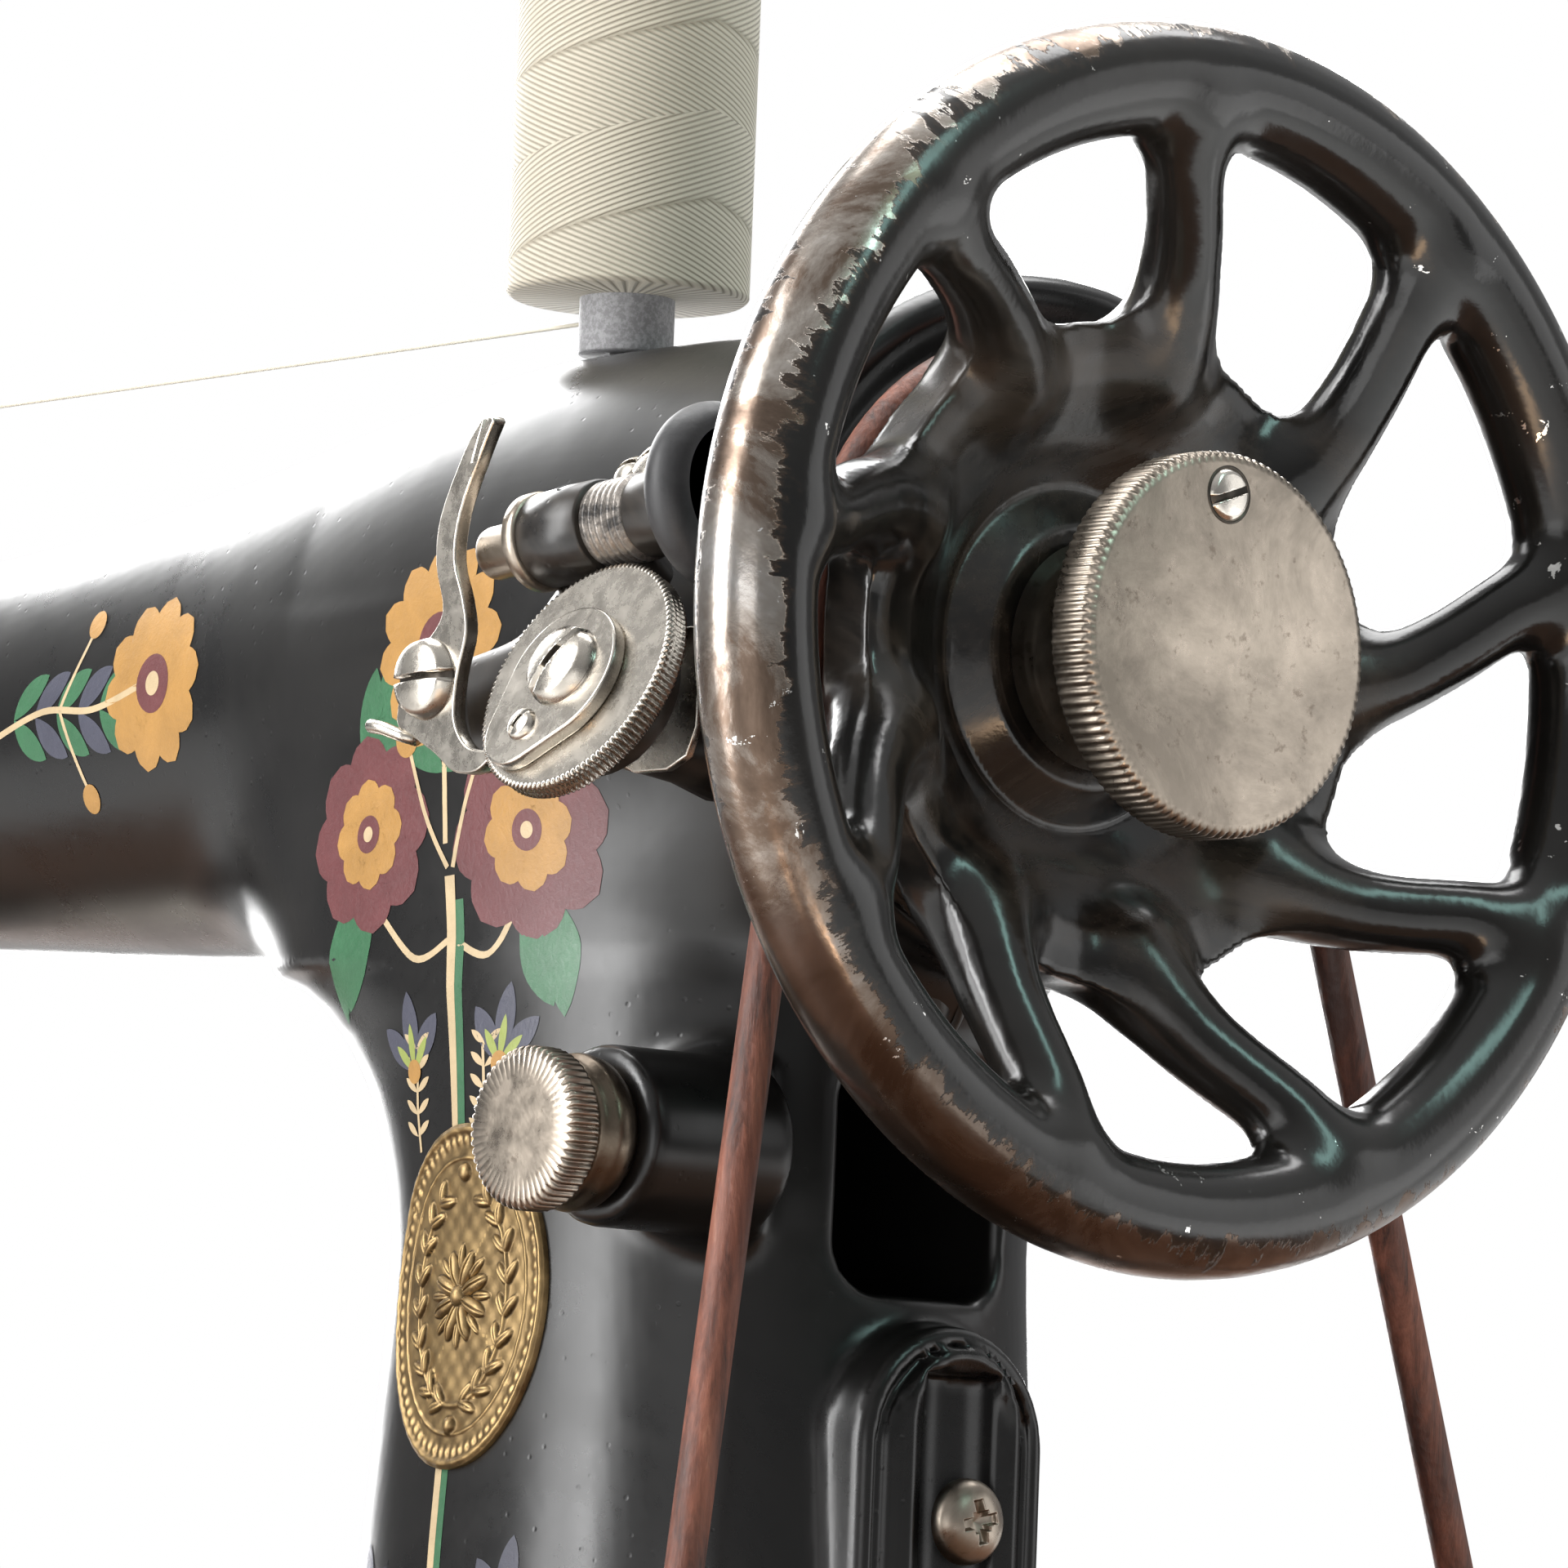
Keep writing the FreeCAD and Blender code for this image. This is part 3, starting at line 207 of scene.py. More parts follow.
def plate(name, outline, thickness, origin, right, up, bevel=0.3):
    """A flat plate: an outline in mm in the plane of right and up, thickened backwards."""
    curve = bpy.data.curves.new(name, "CURVE")
    curve.dimensions = "2D"
    curve.fill_mode = "BOTH"
    spline = curve.splines.new("POLY")
    spline.points.add(len(outline) - 1)
    for point, (x, y) in zip(spline.points, outline):
        point.co = (x * MM, y * MM, 0, 1)
    spline.use_cyclic_u = True
    curve.extrude = thickness / 2 * MM - bevel * MM
    curve.bevel_depth = bevel * MM
    curve.bevel_resolution = 2
    curve.offset = -bevel * MM
    holder = bpy.data.objects.new(name + "_curve", curve)
    bpy.context.scene.collection.objects.link(holder)
    graph = bpy.context.evaluated_depsgraph_get()
    mesh = bpy.data.meshes.new_from_object(holder.evaluated_get(graph))
    bpy.data.objects.remove(holder)
    right = Vector(right).normalized()
    up = Vector(up).normalized()
    out = right.cross(up)
    turn = Matrix((right, up, out)).transposed().to_4x4()
    mesh.transform(Matrix.Translation(origin - out * thickness / 2 * MM) @ turn)
    thing = bpy.data.objects.new(name, mesh)
    bpy.context.scene.collection.objects.link(thing)
    return weld(thing)


def circle_outline(radius, count=64, centre=(0, 0)):
    turns = [2 * math.pi * step / count for step in range(count)]
    return [(centre[0] + radius * math.cos(turn), centre[1] + radius * math.sin(turn))
            for turn in turns]


def join(name, things):
    """Several meshes as one object, materials kept."""
    work = bmesh.new()
    materials = []
    for thing in things:
        start = len(work.faces)
        slots = []
        for material in thing.data.materials:
            if material not in materials:
                materials.append(material)
            slots.append(materials.index(material))
        work.from_mesh(thing.data)
        work.faces.ensure_lookup_table()
        for face in work.faces[start:]:
            face.material_index = slots[face.material_index] if slots else 0
    mesh = bpy.data.meshes.new(name)
    work.to_mesh(mesh)
    work.free()
    for material in materials:
        mesh.materials.append(material)
    for thing in things:
        bpy.data.objects.remove(thing)
    joined = bpy.data.objects.new(name, mesh)
    bpy.context.scene.collection.objects.link(joined)
    return joined


# ---------------------------------------------------------------- castings as distance fields
class Field:
    """A block of space on a grid in which a casting is built up; millimetres from a base."""

    def __init__(self, corner, far, step, base=None):
        self.base = WHEEL_AT if base is None else base
        self.corner = np.array(corner, float)
        self.step = step
        counts = np.ceil((np.array(far, float) - self.corner) / step).astype(int) + 1
        axes = [corner[k] + step * np.arange(counts[k]) for k in range(3)]
        grids = np.meshgrid(*axes, indexing="ij")
        self.x, self.y, self.z = [grid.astype(np.float32) for grid in grids]
        self.value = np.full(self.x.shape, 50.0, np.float32)

    def add(self, shape, blend=0.5):
        self.value = smooth_low(self.value, shape, blend)

    def cut(self, shape, blend=0.5):
        self.value = -smooth_low(-self.value, shape, blend)

    def mesh(self, name):
        self.value[[0, -1], :, :] = 5
        self.value[:, [0, -1], :] = 5
        self.value[:, :, [0, -1]] = 5
        grid = openvdb.FloatGrid(5.0)
        grid.copyFromArray(np.clip(self.value, -5, 5).astype(np.float32))
        points, quads = grid.convertToQuads(isovalue=0.0)
        points = points * self.step + self.corner
        thing = mesh_object(name, points * MM + np.array(self.base), quads[:, ::-1])
        return outward(thing)


def smooth_low(a, b, blend):
    """The lower of two fields, with a rounded changeover."""
    share = np.clip(0.5 + 0.5 * (b - a) / blend, 0, 1)
    return b * (1 - share) + a * share - blend * share * (1 - share)


def round_box(field, centre, half, radius):
    dx = np.abs(field.x - centre[0]) - (half[0] - radius)
    dy = np.abs(field.y - centre[1]) - (half[1] - radius)
    dz = np.abs(field.z - centre[2]) - (half[2] - radius)
    outside = np.sqrt(np.maximum(dx, 0) ** 2 + np.maximum(dy, 0) ** 2 + np.maximum(dz, 0) ** 2)
    return outside + np.minimum(np.maximum(dx, np.maximum(dy, dz)), 0) - radius


def rod_field(field, start, end, radius_start, radius_end):
    """A tapered rod between two points."""
    line = [end[k] - start[k] for k in range(3)]
    length = sum(value * value for value in line)
    share = ((field.x - start[0]) * line[0] + (field.y - start[1]) * line[1]
             + (field.z - start[2]) * line[2]) / length
    share = np.clip(share, 0, 1)
    gap = np.sqrt((field.x - start[0] - share * line[0]) ** 2
                  + (field.y - start[1] - share * line[1]) ** 2
                  + (field.z - start[2] - share * line[2]) ** 2)
    return gap - (radius_start + (radius_end - radius_start) * share)


def disc_field(field, centre, axis, radius, half_length, edge=0.5):
    """A short cylinder along X, Y or Z with rounded edges."""
    parts = [field.x - centre[0], field.y - centre[1], field.z - centre[2]]
    along = np.abs(parts.pop(axis)) - (half_length - edge)
    reach = np.sqrt(parts[0] ** 2 + parts[1] ** 2) - (radius - edge)
    outside = np.sqrt(np.maximum(along, 0) ** 2 + np.maximum(reach, 0) ** 2)
    return outside + np.minimum(np.maximum(along, reach), 0) - edge


def round_up(a, b, radius):
    """The overlap of two fields with a rounded edge."""
    a, b = a + radius, b + radius
    return np.sqrt(np.maximum(a, 0) ** 2 + np.maximum(b, 0) ** 2) + np.minimum(
        np.maximum(a, b), 0) - radius


# ---------------------------------------------------------------- materials
class Nodes:
    """A short way to write a node material."""

    def __init__(self, name):
        self.material = bpy.data.materials.new(name)
        self.material.use_nodes = True
        self.tree = self.material.node_tree
        self.shader = self.tree.nodes["Principled BSDF"]
        self.place = self.new("ShaderNodeTexCoord").outputs["Object"]

    def new(self, kind, **settings):
        node = self.tree.nodes.new(kind)
        for key, value in settings.items():
            setattr(node, key, value)
        return node

    def link(self, source, target):
        if hasattr(source, "is_output") or hasattr(source, "links"):
            self.tree.links.new(source, target)
        else:
            target.default_value = source

    def noise(self, scale, detail=4, roughness=0.55, distortion=0.0, place=None, stretch=None):
        node = self.new("ShaderNodeTexNoise")
        node.inputs["Scale"].default_value = scale
        node.inputs["Detail"].default_value = detail
        node.inputs["Roughness"].default_value = roughness
        node.inputs["Distortion"].default_value = distortion
        source = place or self.place
        if stretch:
            source = self.scaled(source, stretch)
        self.link(source, node.inputs["Vector"])
        return node.outputs["Fac"]

    def cells(self, scale):
        node = self.new("ShaderNodeTexVoronoi")
        node.inputs["Scale"].default_value = scale
        self.link(self.place, node.inputs["Vector"])
        return node.outputs["Distance"]

    def scaled(self, source, factors, offset=(0, 0, 0)):
        node = self.new("ShaderNodeMapping")
        node.inputs["Scale"].default_value = factors
        node.inputs["Location"].default_value = offset
        self.link(source, node.inputs["Vector"])
        return node.outputs["Vector"]

    def steps(self, source, *stops):
        """A ramp: stops are (place, grey or colour)."""
        node = self.new("ShaderNodeValToRGB")
        ramp = node.color_ramp
        while len(ramp.elements) < len(stops):
            ramp.elements.new(0.5)
        for element, (where, colour) in zip(ramp.elements, stops):
            element.position = where
            if isinstance(colour, (int, float)):
                colour = (colour, colour, colour)
            element.color = (*colour, 1)
        self.link(source, node.inputs["Fac"])
        return node.outputs["Color"]

    def mix(self, share, one, other):
        node = self.new("ShaderNodeMix", data_type="RGBA")
        self.link(share, node.inputs["Factor"])
        for value, socket in ((one, node.inputs["A"]), (other, node.inputs["B"])):
            if isinstance(value, tuple):
                value = (*value, 1)
            self.link(value, socket)
        return node.outputs["Result"]

    def math(self, operation, one, other=0.0, clamp=False):
        node = self.new("ShaderNodeMath", operation=operation, use_clamp=clamp)
        self.link(one, node.inputs[0])
        self.link(other, node.inputs[1])
        return node.outputs[0]

    def bump(self, height, strength, distance, normal=None):
        node = self.new("ShaderNodeBump")
        node.inputs["Strength"].default_value = strength
        node.inputs["Distance"].default_value = distance
        self.link(height, node.inputs["Height"])
        if normal:
            self.link(normal, node.inputs["Normal"])
        return node.outputs["Normal"]

    def set(self, **values):
        names = {"colour": "Base Color", "rough": "Roughness", "metal": "Metallic",
                 "normal": "Normal", "coat": "Coat Weight", "coat_rough": "Coat Roughness",
                 "ior": "IOR", "specular": "Specular IOR Level", "sheen": "Sheen Weight"}
        for key, value in values.items():
            if isinstance(value, tuple):
                value = (*value, 1)
            self.link(value, self.shader.inputs[names[key]])
        return self.material


def enamel_material(name, dust=0.0):
    """Black japan enamel: glossy, gently uneven, with fine pits and handling marks."""
    n = Nodes(name)
    pits = n.steps(n.cells(420), (0.0, 0.0), (0.16, 1.0))
    pit_zone = n.steps(n.noise(30, 3), (0.45, 0.0), (0.62, 1.0))
    pits = n.math("MAXIMUM", pits, n.math("SUBTRACT", 1.0, pit_zone))
    waves = n.noise(60, 3, 0.5)
    normal = n.bump(waves, 0.10, 0.0012)
    normal = n.bump(pits, 0.16, 0.00025, normal)
    smears = n.noise(22, 6, 0.65, 0.6)
    fine = n.noise(900, 2, 0.6)
    rough = n.steps(smears, (0.30, 0.20), (0.75, 0.34))
    rough = n.math("ADD", rough, n.math("MULTIPLY", fine, 0.06))
    tint = n.steps(smears, (0.35, (0.004, 0.004, 0.0042)), (0.8, (0.010, 0.009, 0.008)))
    if dust:
        grime = n.steps(n.noise(14, 8, 0.7, 1.0), (0.42, 0.0), (0.72, dust))
        tint = n.mix(grime, tint, (0.060, 0.046, 0.034))
        rough = n.math("ADD", rough, n.math("MULTIPLY", grime, 0.25), clamp=True)
    return n.set(colour=tint, rough=rough, normal=normal, specular=0.5, ior=1.5)


def nickel_material(name, tone=(0.56, 0.52, 0.46), stain=0.5, rough=0.26, blotches=70):
    """Aged nickel plate: warm grey, blotched, fine scratches and small dark spots."""
    n = Nodes(name)
    blotch = n.steps(n.noise(blotches, 8, 0.68, 0.8), (0.38, 0.0), (0.64, 1.0))
    dark = tuple(value * (1 - 0.45 * stain) for value in tone)
    tint = n.mix(blotch, dark, tone)
    spots = n.steps(n.noise(420, 4, 0.7), (0.30, 1.0), (0.40, 0.0))
    tint = n.mix(n.math("MULTIPLY", spots, 0.55 * stain), tint, (0.13, 0.10, 0.075))
    scratch = n.noise(260, 6, 0.75)
    rough_value = n.steps(scratch, (0.3, rough * 0.75), (0.75, rough * 1.55))
    rough_value = n.math("ADD", rough_value, n.math("MULTIPLY", blotch, -0.05), clamp=True)
    normal = n.bump(scratch, 0.10, 0.0003)
    normal = n.bump(blotch, 0.06, 0.0006, normal)
    return n.set(colour=tint, rough=rough_value, metal=1.0, normal=normal)


def plain_metal(name, tone, rough, spotted=0.3):
    n = Nodes(name)
    patches = n.steps(n.noise(55, 7, 0.7, 0.5), (0.35, 0.0), (0.7, 1.0))
    tint = n.mix(patches, tuple(value * (1 - spotted) for value in tone), tone)
    fine = n.noise(600, 4, 0.7)
    rough_value = n.steps(fine, (0.3, rough * 0.8), (0.75, rough * 1.4))
    return n.set(colour=tint, rough=rough_value, metal=1.0, normal=n.bump(fine, 0.12, 0.0003))


def brass_material():
    """Cast brass with dark tarnish in the hollows and rubbed high spots."""
    n = Nodes("aged_brass")
    hollow = n.new("ShaderNodeNewGeometry").outputs["Pointiness"]
    worn = n.steps(hollow, (0.46, 0.0), (0.54, 1.0))
    mottle = n.noise(180, 7, 0.7, 0.5)
    tint = n.mix(worn, (0.045, 0.030, 0.017), (0.50, 0.345, 0.155))
    tint = n.mix(n.steps(mottle, (0.36, 0.85), (0.66, 0.0)), tint, (0.17, 0.115, 0.055))
    rough = n.steps(mottle, (0.3, 0.34), (0.7, 0.50))
    return n.set(colour=tint, rough=rough, metal=0.9, normal=n.bump(mottle, 0.25, 0.0004))


def leather_material():
    n = Nodes("belt_leather")
    streaks = n.noise(420, 6, 0.72, 0.4, stretch=(1, 1, 0.16))
    coarse = n.noise(130, 5, 0.7, 0.8, stretch=(1, 1, 0.22))
    tint = n.steps(streaks, (0.34, (0.040, 0.015, 0.010)), (0.48, (0.16, 0.052, 0.030)),
                   (0.64, (0.27, 0.096, 0.058)), (0.80, (0.48, 0.25, 0.16)))
    tint = n.mix(n.steps(coarse, (0.36, 0.85), (0.58, 0.0)), tint, (0.055, 0.022, 0.016))
    pores = n.cells(900)
    normal = n.bump(streaks, 0.5, 0.0005)
    normal = n.bump(pores, 0.25, 0.0003, normal)
    return n.set(colour=tint, rough=n.steps(coarse, (0.3, 0.42), (0.7, 0.68)), normal=normal)


def wood_material(name, along=0, dark=(0.055, 0.022, 0.010), light=(0.20, 0.085, 0.035)):
    """Varnished walnut with long grain along one axis."""
    n = Nodes(name)
    stretch = [14.0, 14.0, 14.0]
    stretch[along] = 0.9
    grain_at = n.scaled(n.place, tuple(stretch))
    rings = n.new("ShaderNodeTexWave", wave_type="BANDS", bands_direction="YXY"[along])
    rings.inputs["Scale"].default_value = 0.9
    rings.inputs["Distortion"].default_value = 6.5
    rings.inputs["Detail"].default_value = 4.0
    rings.inputs["Detail Scale"].default_value = 1.4
    n.link(grain_at, rings.inputs["Vector"])
    fibre_stretch = [260.0, 260.0, 260.0]
    fibre_stretch[along] = 9.0
    fibres = n.noise(1.0, 5, 0.7, 0.2, stretch=tuple(fibre_stretch))
    tint = n.mix(rings.outputs["Fac"], dark, light)
    tint = n.mix(n.steps(fibres, (0.35, 0.75), (0.60, 0.0)), tint,
                 tuple(value * 0.45 for value in dark))
    wear = n.steps(n.noise(9, 6, 0.7, 0.6), (0.40, 0.0), (0.75, 0.35))
    tint = n.mix(wear, tint, tuple(value * 1.5 for value in light))
    rough = n.steps(n.noise(16, 6, 0.6), (0.35, 0.42), (0.75, 0.58))
    return n.set(colour=tint, rough=rough, normal=n.bump(fibres, 0.18, 0.0004), coat=0.08,
                 coat_rough=0.3)


def rubber_material():
    n = Nodes("tyre_rubber")
    scuff = n.noise(160, 6, 0.7, 0.6)
    tint = n.steps(scuff, (0.35, (0.010, 0.010, 0.011)), (0.75, (0.030, 0.030, 0.032)))
    return n.set(colour=tint, rough=n.steps(scuff, (0.3, 0.42), (0.7, 0.60)),
                 normal=n.bump(n.noise(1500, 3), 0.15, 0.0002))


def cotton_material():
    n = Nodes("cotton_thread")
    tone = (0.60, 0.56, 0.46)
    fuzz = n.noise(1400, 4, 0.7)
    tint = n.mix(n.steps(fuzz, (0.3, 0.55), (0.7, 0.0)), tone,
                 tuple(value * 0.72 for value in tone))
    return n.set(colour=tint, rough=0.72, sheen=0.25, normal=n.bump(fuzz, 0.35, 0.0002))


def paint_material(name, tone, rough=0.38):
    """Transfer paint: slightly uneven, with pinholes and a soft gloss."""
    n = Nodes(name)
    fade = n.noise(120, 6, 0.7, 0.4)
    tint = n.mix(n.steps(fade, (0.34, 0.55), (0.66, 0.0)), tone,
                 tuple(value * 0.62 for value in tone))
    grain = n.noise(1600, 3, 0.7)
    return n.set(colour=tint, rough=n.steps(grain, (0.3, rough * 0.8), (0.7, rough * 1.3)),
                 normal=n.bump(grain, 0.22, 0.0003))


def iron_material():
    """Black-painted cast iron with a sandy skin and rubbed brown edges."""
    n = Nodes("stand_iron")
    sand = n.noise(700, 4, 0.7)
    lumps = n.noise(90, 4, 0.6)
    edge = n.steps(n.new("ShaderNodeNewGeometry").outputs["Pointiness"],
                   (0.50, 0.0), (0.56, 1.0))
    patch = n.steps(n.noise(28, 7, 0.7, 0.6), (0.45, 0.0), (0.65, 1.0))
    tint = n.mix(n.math("MULTIPLY", edge, patch), (0.010, 0.010, 0.0105),
                 (0.075, 0.048, 0.032))
    normal = n.bump(lumps, 0.25, 0.0012)
    normal = n.bump(sand, 0.18, 0.0004, normal)
    return n.set(colour=tint, rough=n.steps(sand, (0.3, 0.30), (0.7, 0.48)), normal=normal)


def wheel_material():
    """Enamel on the hand wheel, worn through to steel where hands have rubbed the rim; the bare
    steel carries painted shade towards the bottom.
    """
    n = Nodes("wheel_enamel_worn")
    centre = n.scaled(n.place, (1, 1, 1), tuple(-value for value in WHEEL_AT))
    split = n.new("ShaderNodeSeparateXYZ")
    n.link(centre, split.inputs["Vector"])
    x, y, z = split.outputs
    reach = n.math("SQRT", n.math("ADD", n.math("POWER", y, 2.0), n.math("POWER", z, 2.0)))
    out = n.math("SUBTRACT", reach, RIM_MIDDLE * MM)
    out = n.math("MULTIPLY", out, 1 / (RIM_BAR * MM))
    face = n.math("MULTIPLY", x, 1 / (RIM_BAR * MM))
    lean = n.math("ADD", n.math("MULTIPLY", out, 0.93), n.math("MULTIPLY", face, 0.36))
    wheel_radius = (RIM_MIDDLE + RIM_BAR) * MM
    front = n.math("MULTIPLY", y, -1 / wheel_radius)
    below = n.math("MULTIPLY", z, -1 / wheel_radius)
    where = n.math("ADD", n.math("MULTIPLY", front, 0.16), n.math("MULTIPLY", below, 0.10))
    swirl = n.new("ShaderNodeMath", operation="ARCTAN2")
    n.link(z, swirl.inputs[0])
    n.link(y, swirl.inputs[1])
    polar = n.new("ShaderNodeCombineXYZ")
    n.link(n.math("MULTIPLY", swirl.outputs[0], 16.0), polar.inputs[0])
    n.link(n.math("MULTIPLY", lean, 1.6), polar.inputs[1])
    n.link(face, polar.inputs[2])
    jagged = n.noise(1.0, 6, 0.72, 0.3, place=n.scaled(polar.outputs[0], (1.6, 0.9, 0.7)))
    broad = n.noise(1.0, 4, 0.6, 0.3, place=n.scaled(polar.outputs[0], (0.22, 0.5, 0.5)))
    edge = n.math("ADD", lean, n.math("MULTIPLY", n.math("SUBTRACT", jagged, 0.5), 1.15))
    edge = n.math("ADD", edge, n.math("MULTIPLY", n.math("SUBTRACT", broad, 0.5), 0.95))
    edge = n.math("ADD", edge, where)
    bare = n.steps(n.math("MULTIPLY", edge, 0.5), (0.425, 0.0), (0.435, 1.0))
    halo = n.steps(n.math("MULTIPLY", edge, 0.5), (0.365, 0.0), (0.43, 1.0))
    chips = n.steps(n.noise(210, 5, 0.75, 0.3), (0.665, 0.0), (0.672, 1.0))
    on_rim = n.steps(n.math("MULTIPLY", reach, 10.0), (0.585, 0.0), (0.60, 1.0))
    chips = n.math("MULTIPLY", chips, on_rim)
    bare = n.math("MULTIPLY", bare, on_rim)
    halo = n.math("MULTIPLY", halo, on_rim)
    patina = n.noise(46, 7, 0.7, 0.8)
    steel = n.steps(patina, (0.30, (0.055, 0.038, 0.028)), (0.46, (0.15, 0.11, 0.085)),
                    (0.58, (0.42, 0.38, 0.34)), (0.72, (0.70, 0.67, 0.64)))
    # Painted light: the bare steel is darker and browner towards the bottom and lighter above, as
    # painted shade below and a painted highlight above.
    painted_shade_low = n.steps(n.math("ADD", n.math("MULTIPLY", below, 0.5), 0.5), (0.45, 0.0),
                       (0.80, 0.75))
    steel = n.mix(painted_shade_low, steel, (0.085, 0.056, 0.040))
    smear = n.noise(20, 6, 0.66, 0.6)
    enamel = n.steps(smear, (0.35, (0.005, 0.005, 0.005)), (0.8, (0.013, 0.011, 0.009)))
    hub = n.math("SUBTRACT", 1.0, n.steps(n.math("MULTIPLY", reach, 10.0), (0.36, 0.0),
                                          (0.46, 1.0)))
    dust = n.math("MULTIPLY", n.steps(n.noise(30, 8, 0.7, 1.0), (0.44, 0.0), (0.74, 0.8)), hub)
    enamel = n.mix(dust, enamel, (0.075, 0.055, 0.040))
    enamel = n.mix(n.math("MULTIPLY", halo, 0.6), enamel, (0.045, 0.028, 0.018))
    tint = n.mix(bare, enamel, steel)
    tint = n.mix(chips, tint, (0.80, 0.79, 0.77))
    metal = n.math("MAXIMUM", n.math("MULTIPLY", bare, 0.95), chips)
    fine = n.noise(800, 3, 0.6)
    rough = n.steps(smear, (0.30, 0.12), (0.75, 0.26))
    rough = n.math("ADD", rough, n.math("MULTIPLY", dust, 0.3), clamp=True)
    rough_steel = n.steps(patina, (0.3, 0.36), (0.7, 0.17))
    rough = n.mix(bare, rough, rough_steel)
    normal = n.bump(n.noise(70, 3, 0.5), 0.12, 0.0012)
    normal = n.bump(n.math("SUBTRACT", 1.0, bare), 0.55, 0.00012, normal)
    normal = n.bump(fine, 0.08, 0.0003, normal)
    return n.set(colour=tint, rough=rough, metal=metal, normal=normal)


ENAMEL = enamel_material("japan_enamel")
ENAMEL_DUSTY = enamel_material("japan_enamel_dusty", dust=0.9)
WHEEL = wheel_material()
NICKEL = nickel_material("nickel_aged")
NICKEL_KNOB = nickel_material("nickel_knob", tone=(0.47, 0.405, 0.335), stain=1.0, rough=0.33,
                              blotches=42)
NICKEL_BRIGHT = nickel_material("nickel_bright", tone=(0.66, 0.62, 0.56), stain=0.35, rough=0.2)
STEEL = plain_metal("tool_steel", (0.42, 0.40, 0.37), 0.30)
# Dark steel for the bolts; the same material is painted shade on screw slot floors and in the gap
# round the stop screw.
DARK_STEEL_AND_GAP_SHADE = plain_metal("dark_steel_and_painted_shade", (0.10, 0.088, 0.075), 0.36, 0.5)
BRONZE = plain_metal("dark_bronze", (0.23, 0.185, 0.14), 0.32, 0.45)
BRASS = brass_material()
LEATHER = leather_material()
TABLE_WOOD = wood_material("table_walnut", 0)
CASE_WOOD = wood_material("case_walnut", 1)
FACE_WOOD = wood_material("drawer_walnut", 0, (0.07, 0.028, 0.012), (0.24, 0.105, 0.045))
ROD_WOOD = wood_material("pitman_ash", 2, (0.16, 0.085, 0.035), (0.36, 0.22, 0.11))
RUBBER = rubber_material()
COTTON = cotton_material()
IRON = iron_material()
# Near-black paint for the winder's oil hole: painted shade standing in for the dark inside of a
# hole.
HOLE_PAINTED_SHADE = paint_material("hole_painted_shade", (0.004, 0.004, 0.004), 0.6)
SPOOL_CORE = plain_metal("spool_core_grey", (0.30, 0.30, 0.31), 0.5)


def dress(thing, material, body, slot, *replaced):
    """Give a piece its material, its body and the nodes it stands for; the slot is not used."""
    if material is not None:
        thing.data.materials.clear()
        thing.data.materials.append(material)
    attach(thing, body)
    if replaced:
        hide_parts(*replaced)
    return thing


# ---------------------------------------------------------------- head casting
def loft_across(field, stations, axis, power=2.0):
    """A long form whose section changes along X or Z.

    Each station is (place, centre one, half one, centre two, half two)."""
    columns = list(zip(*stations))
    along = field.x if axis == 0 else field.z
    first = field.y if axis == 0 else field.x
    second = field.z if axis == 0 else field.y
    c1, h1, c2, h2 = [np.interp(along, columns[0], column) for column in columns[1:]]
    reach = (np.abs((first - c1) / h1) ** power + np.abs((second - c2) / h2) ** power)
    reach = reach ** (1 / power)
    body = (reach - 1) * np.minimum(h1, h2)
    ends = np.maximum(columns[0][0] - along, along - columns[0][-1])
    return np.maximum(body, ends)


def smooth_stations(stations, steps=10):
    """Stations joined by a smooth curve, with the new ones evenly spread between the old."""
    rows = smooth_rows(stations, steps)
    places = [station[0] for station in stations]
    even = np.interp(np.arange(len(rows)) / steps, np.arange(len(places)), places)
    for row, place in zip(rows, even):
        row[0] = place
    return rows


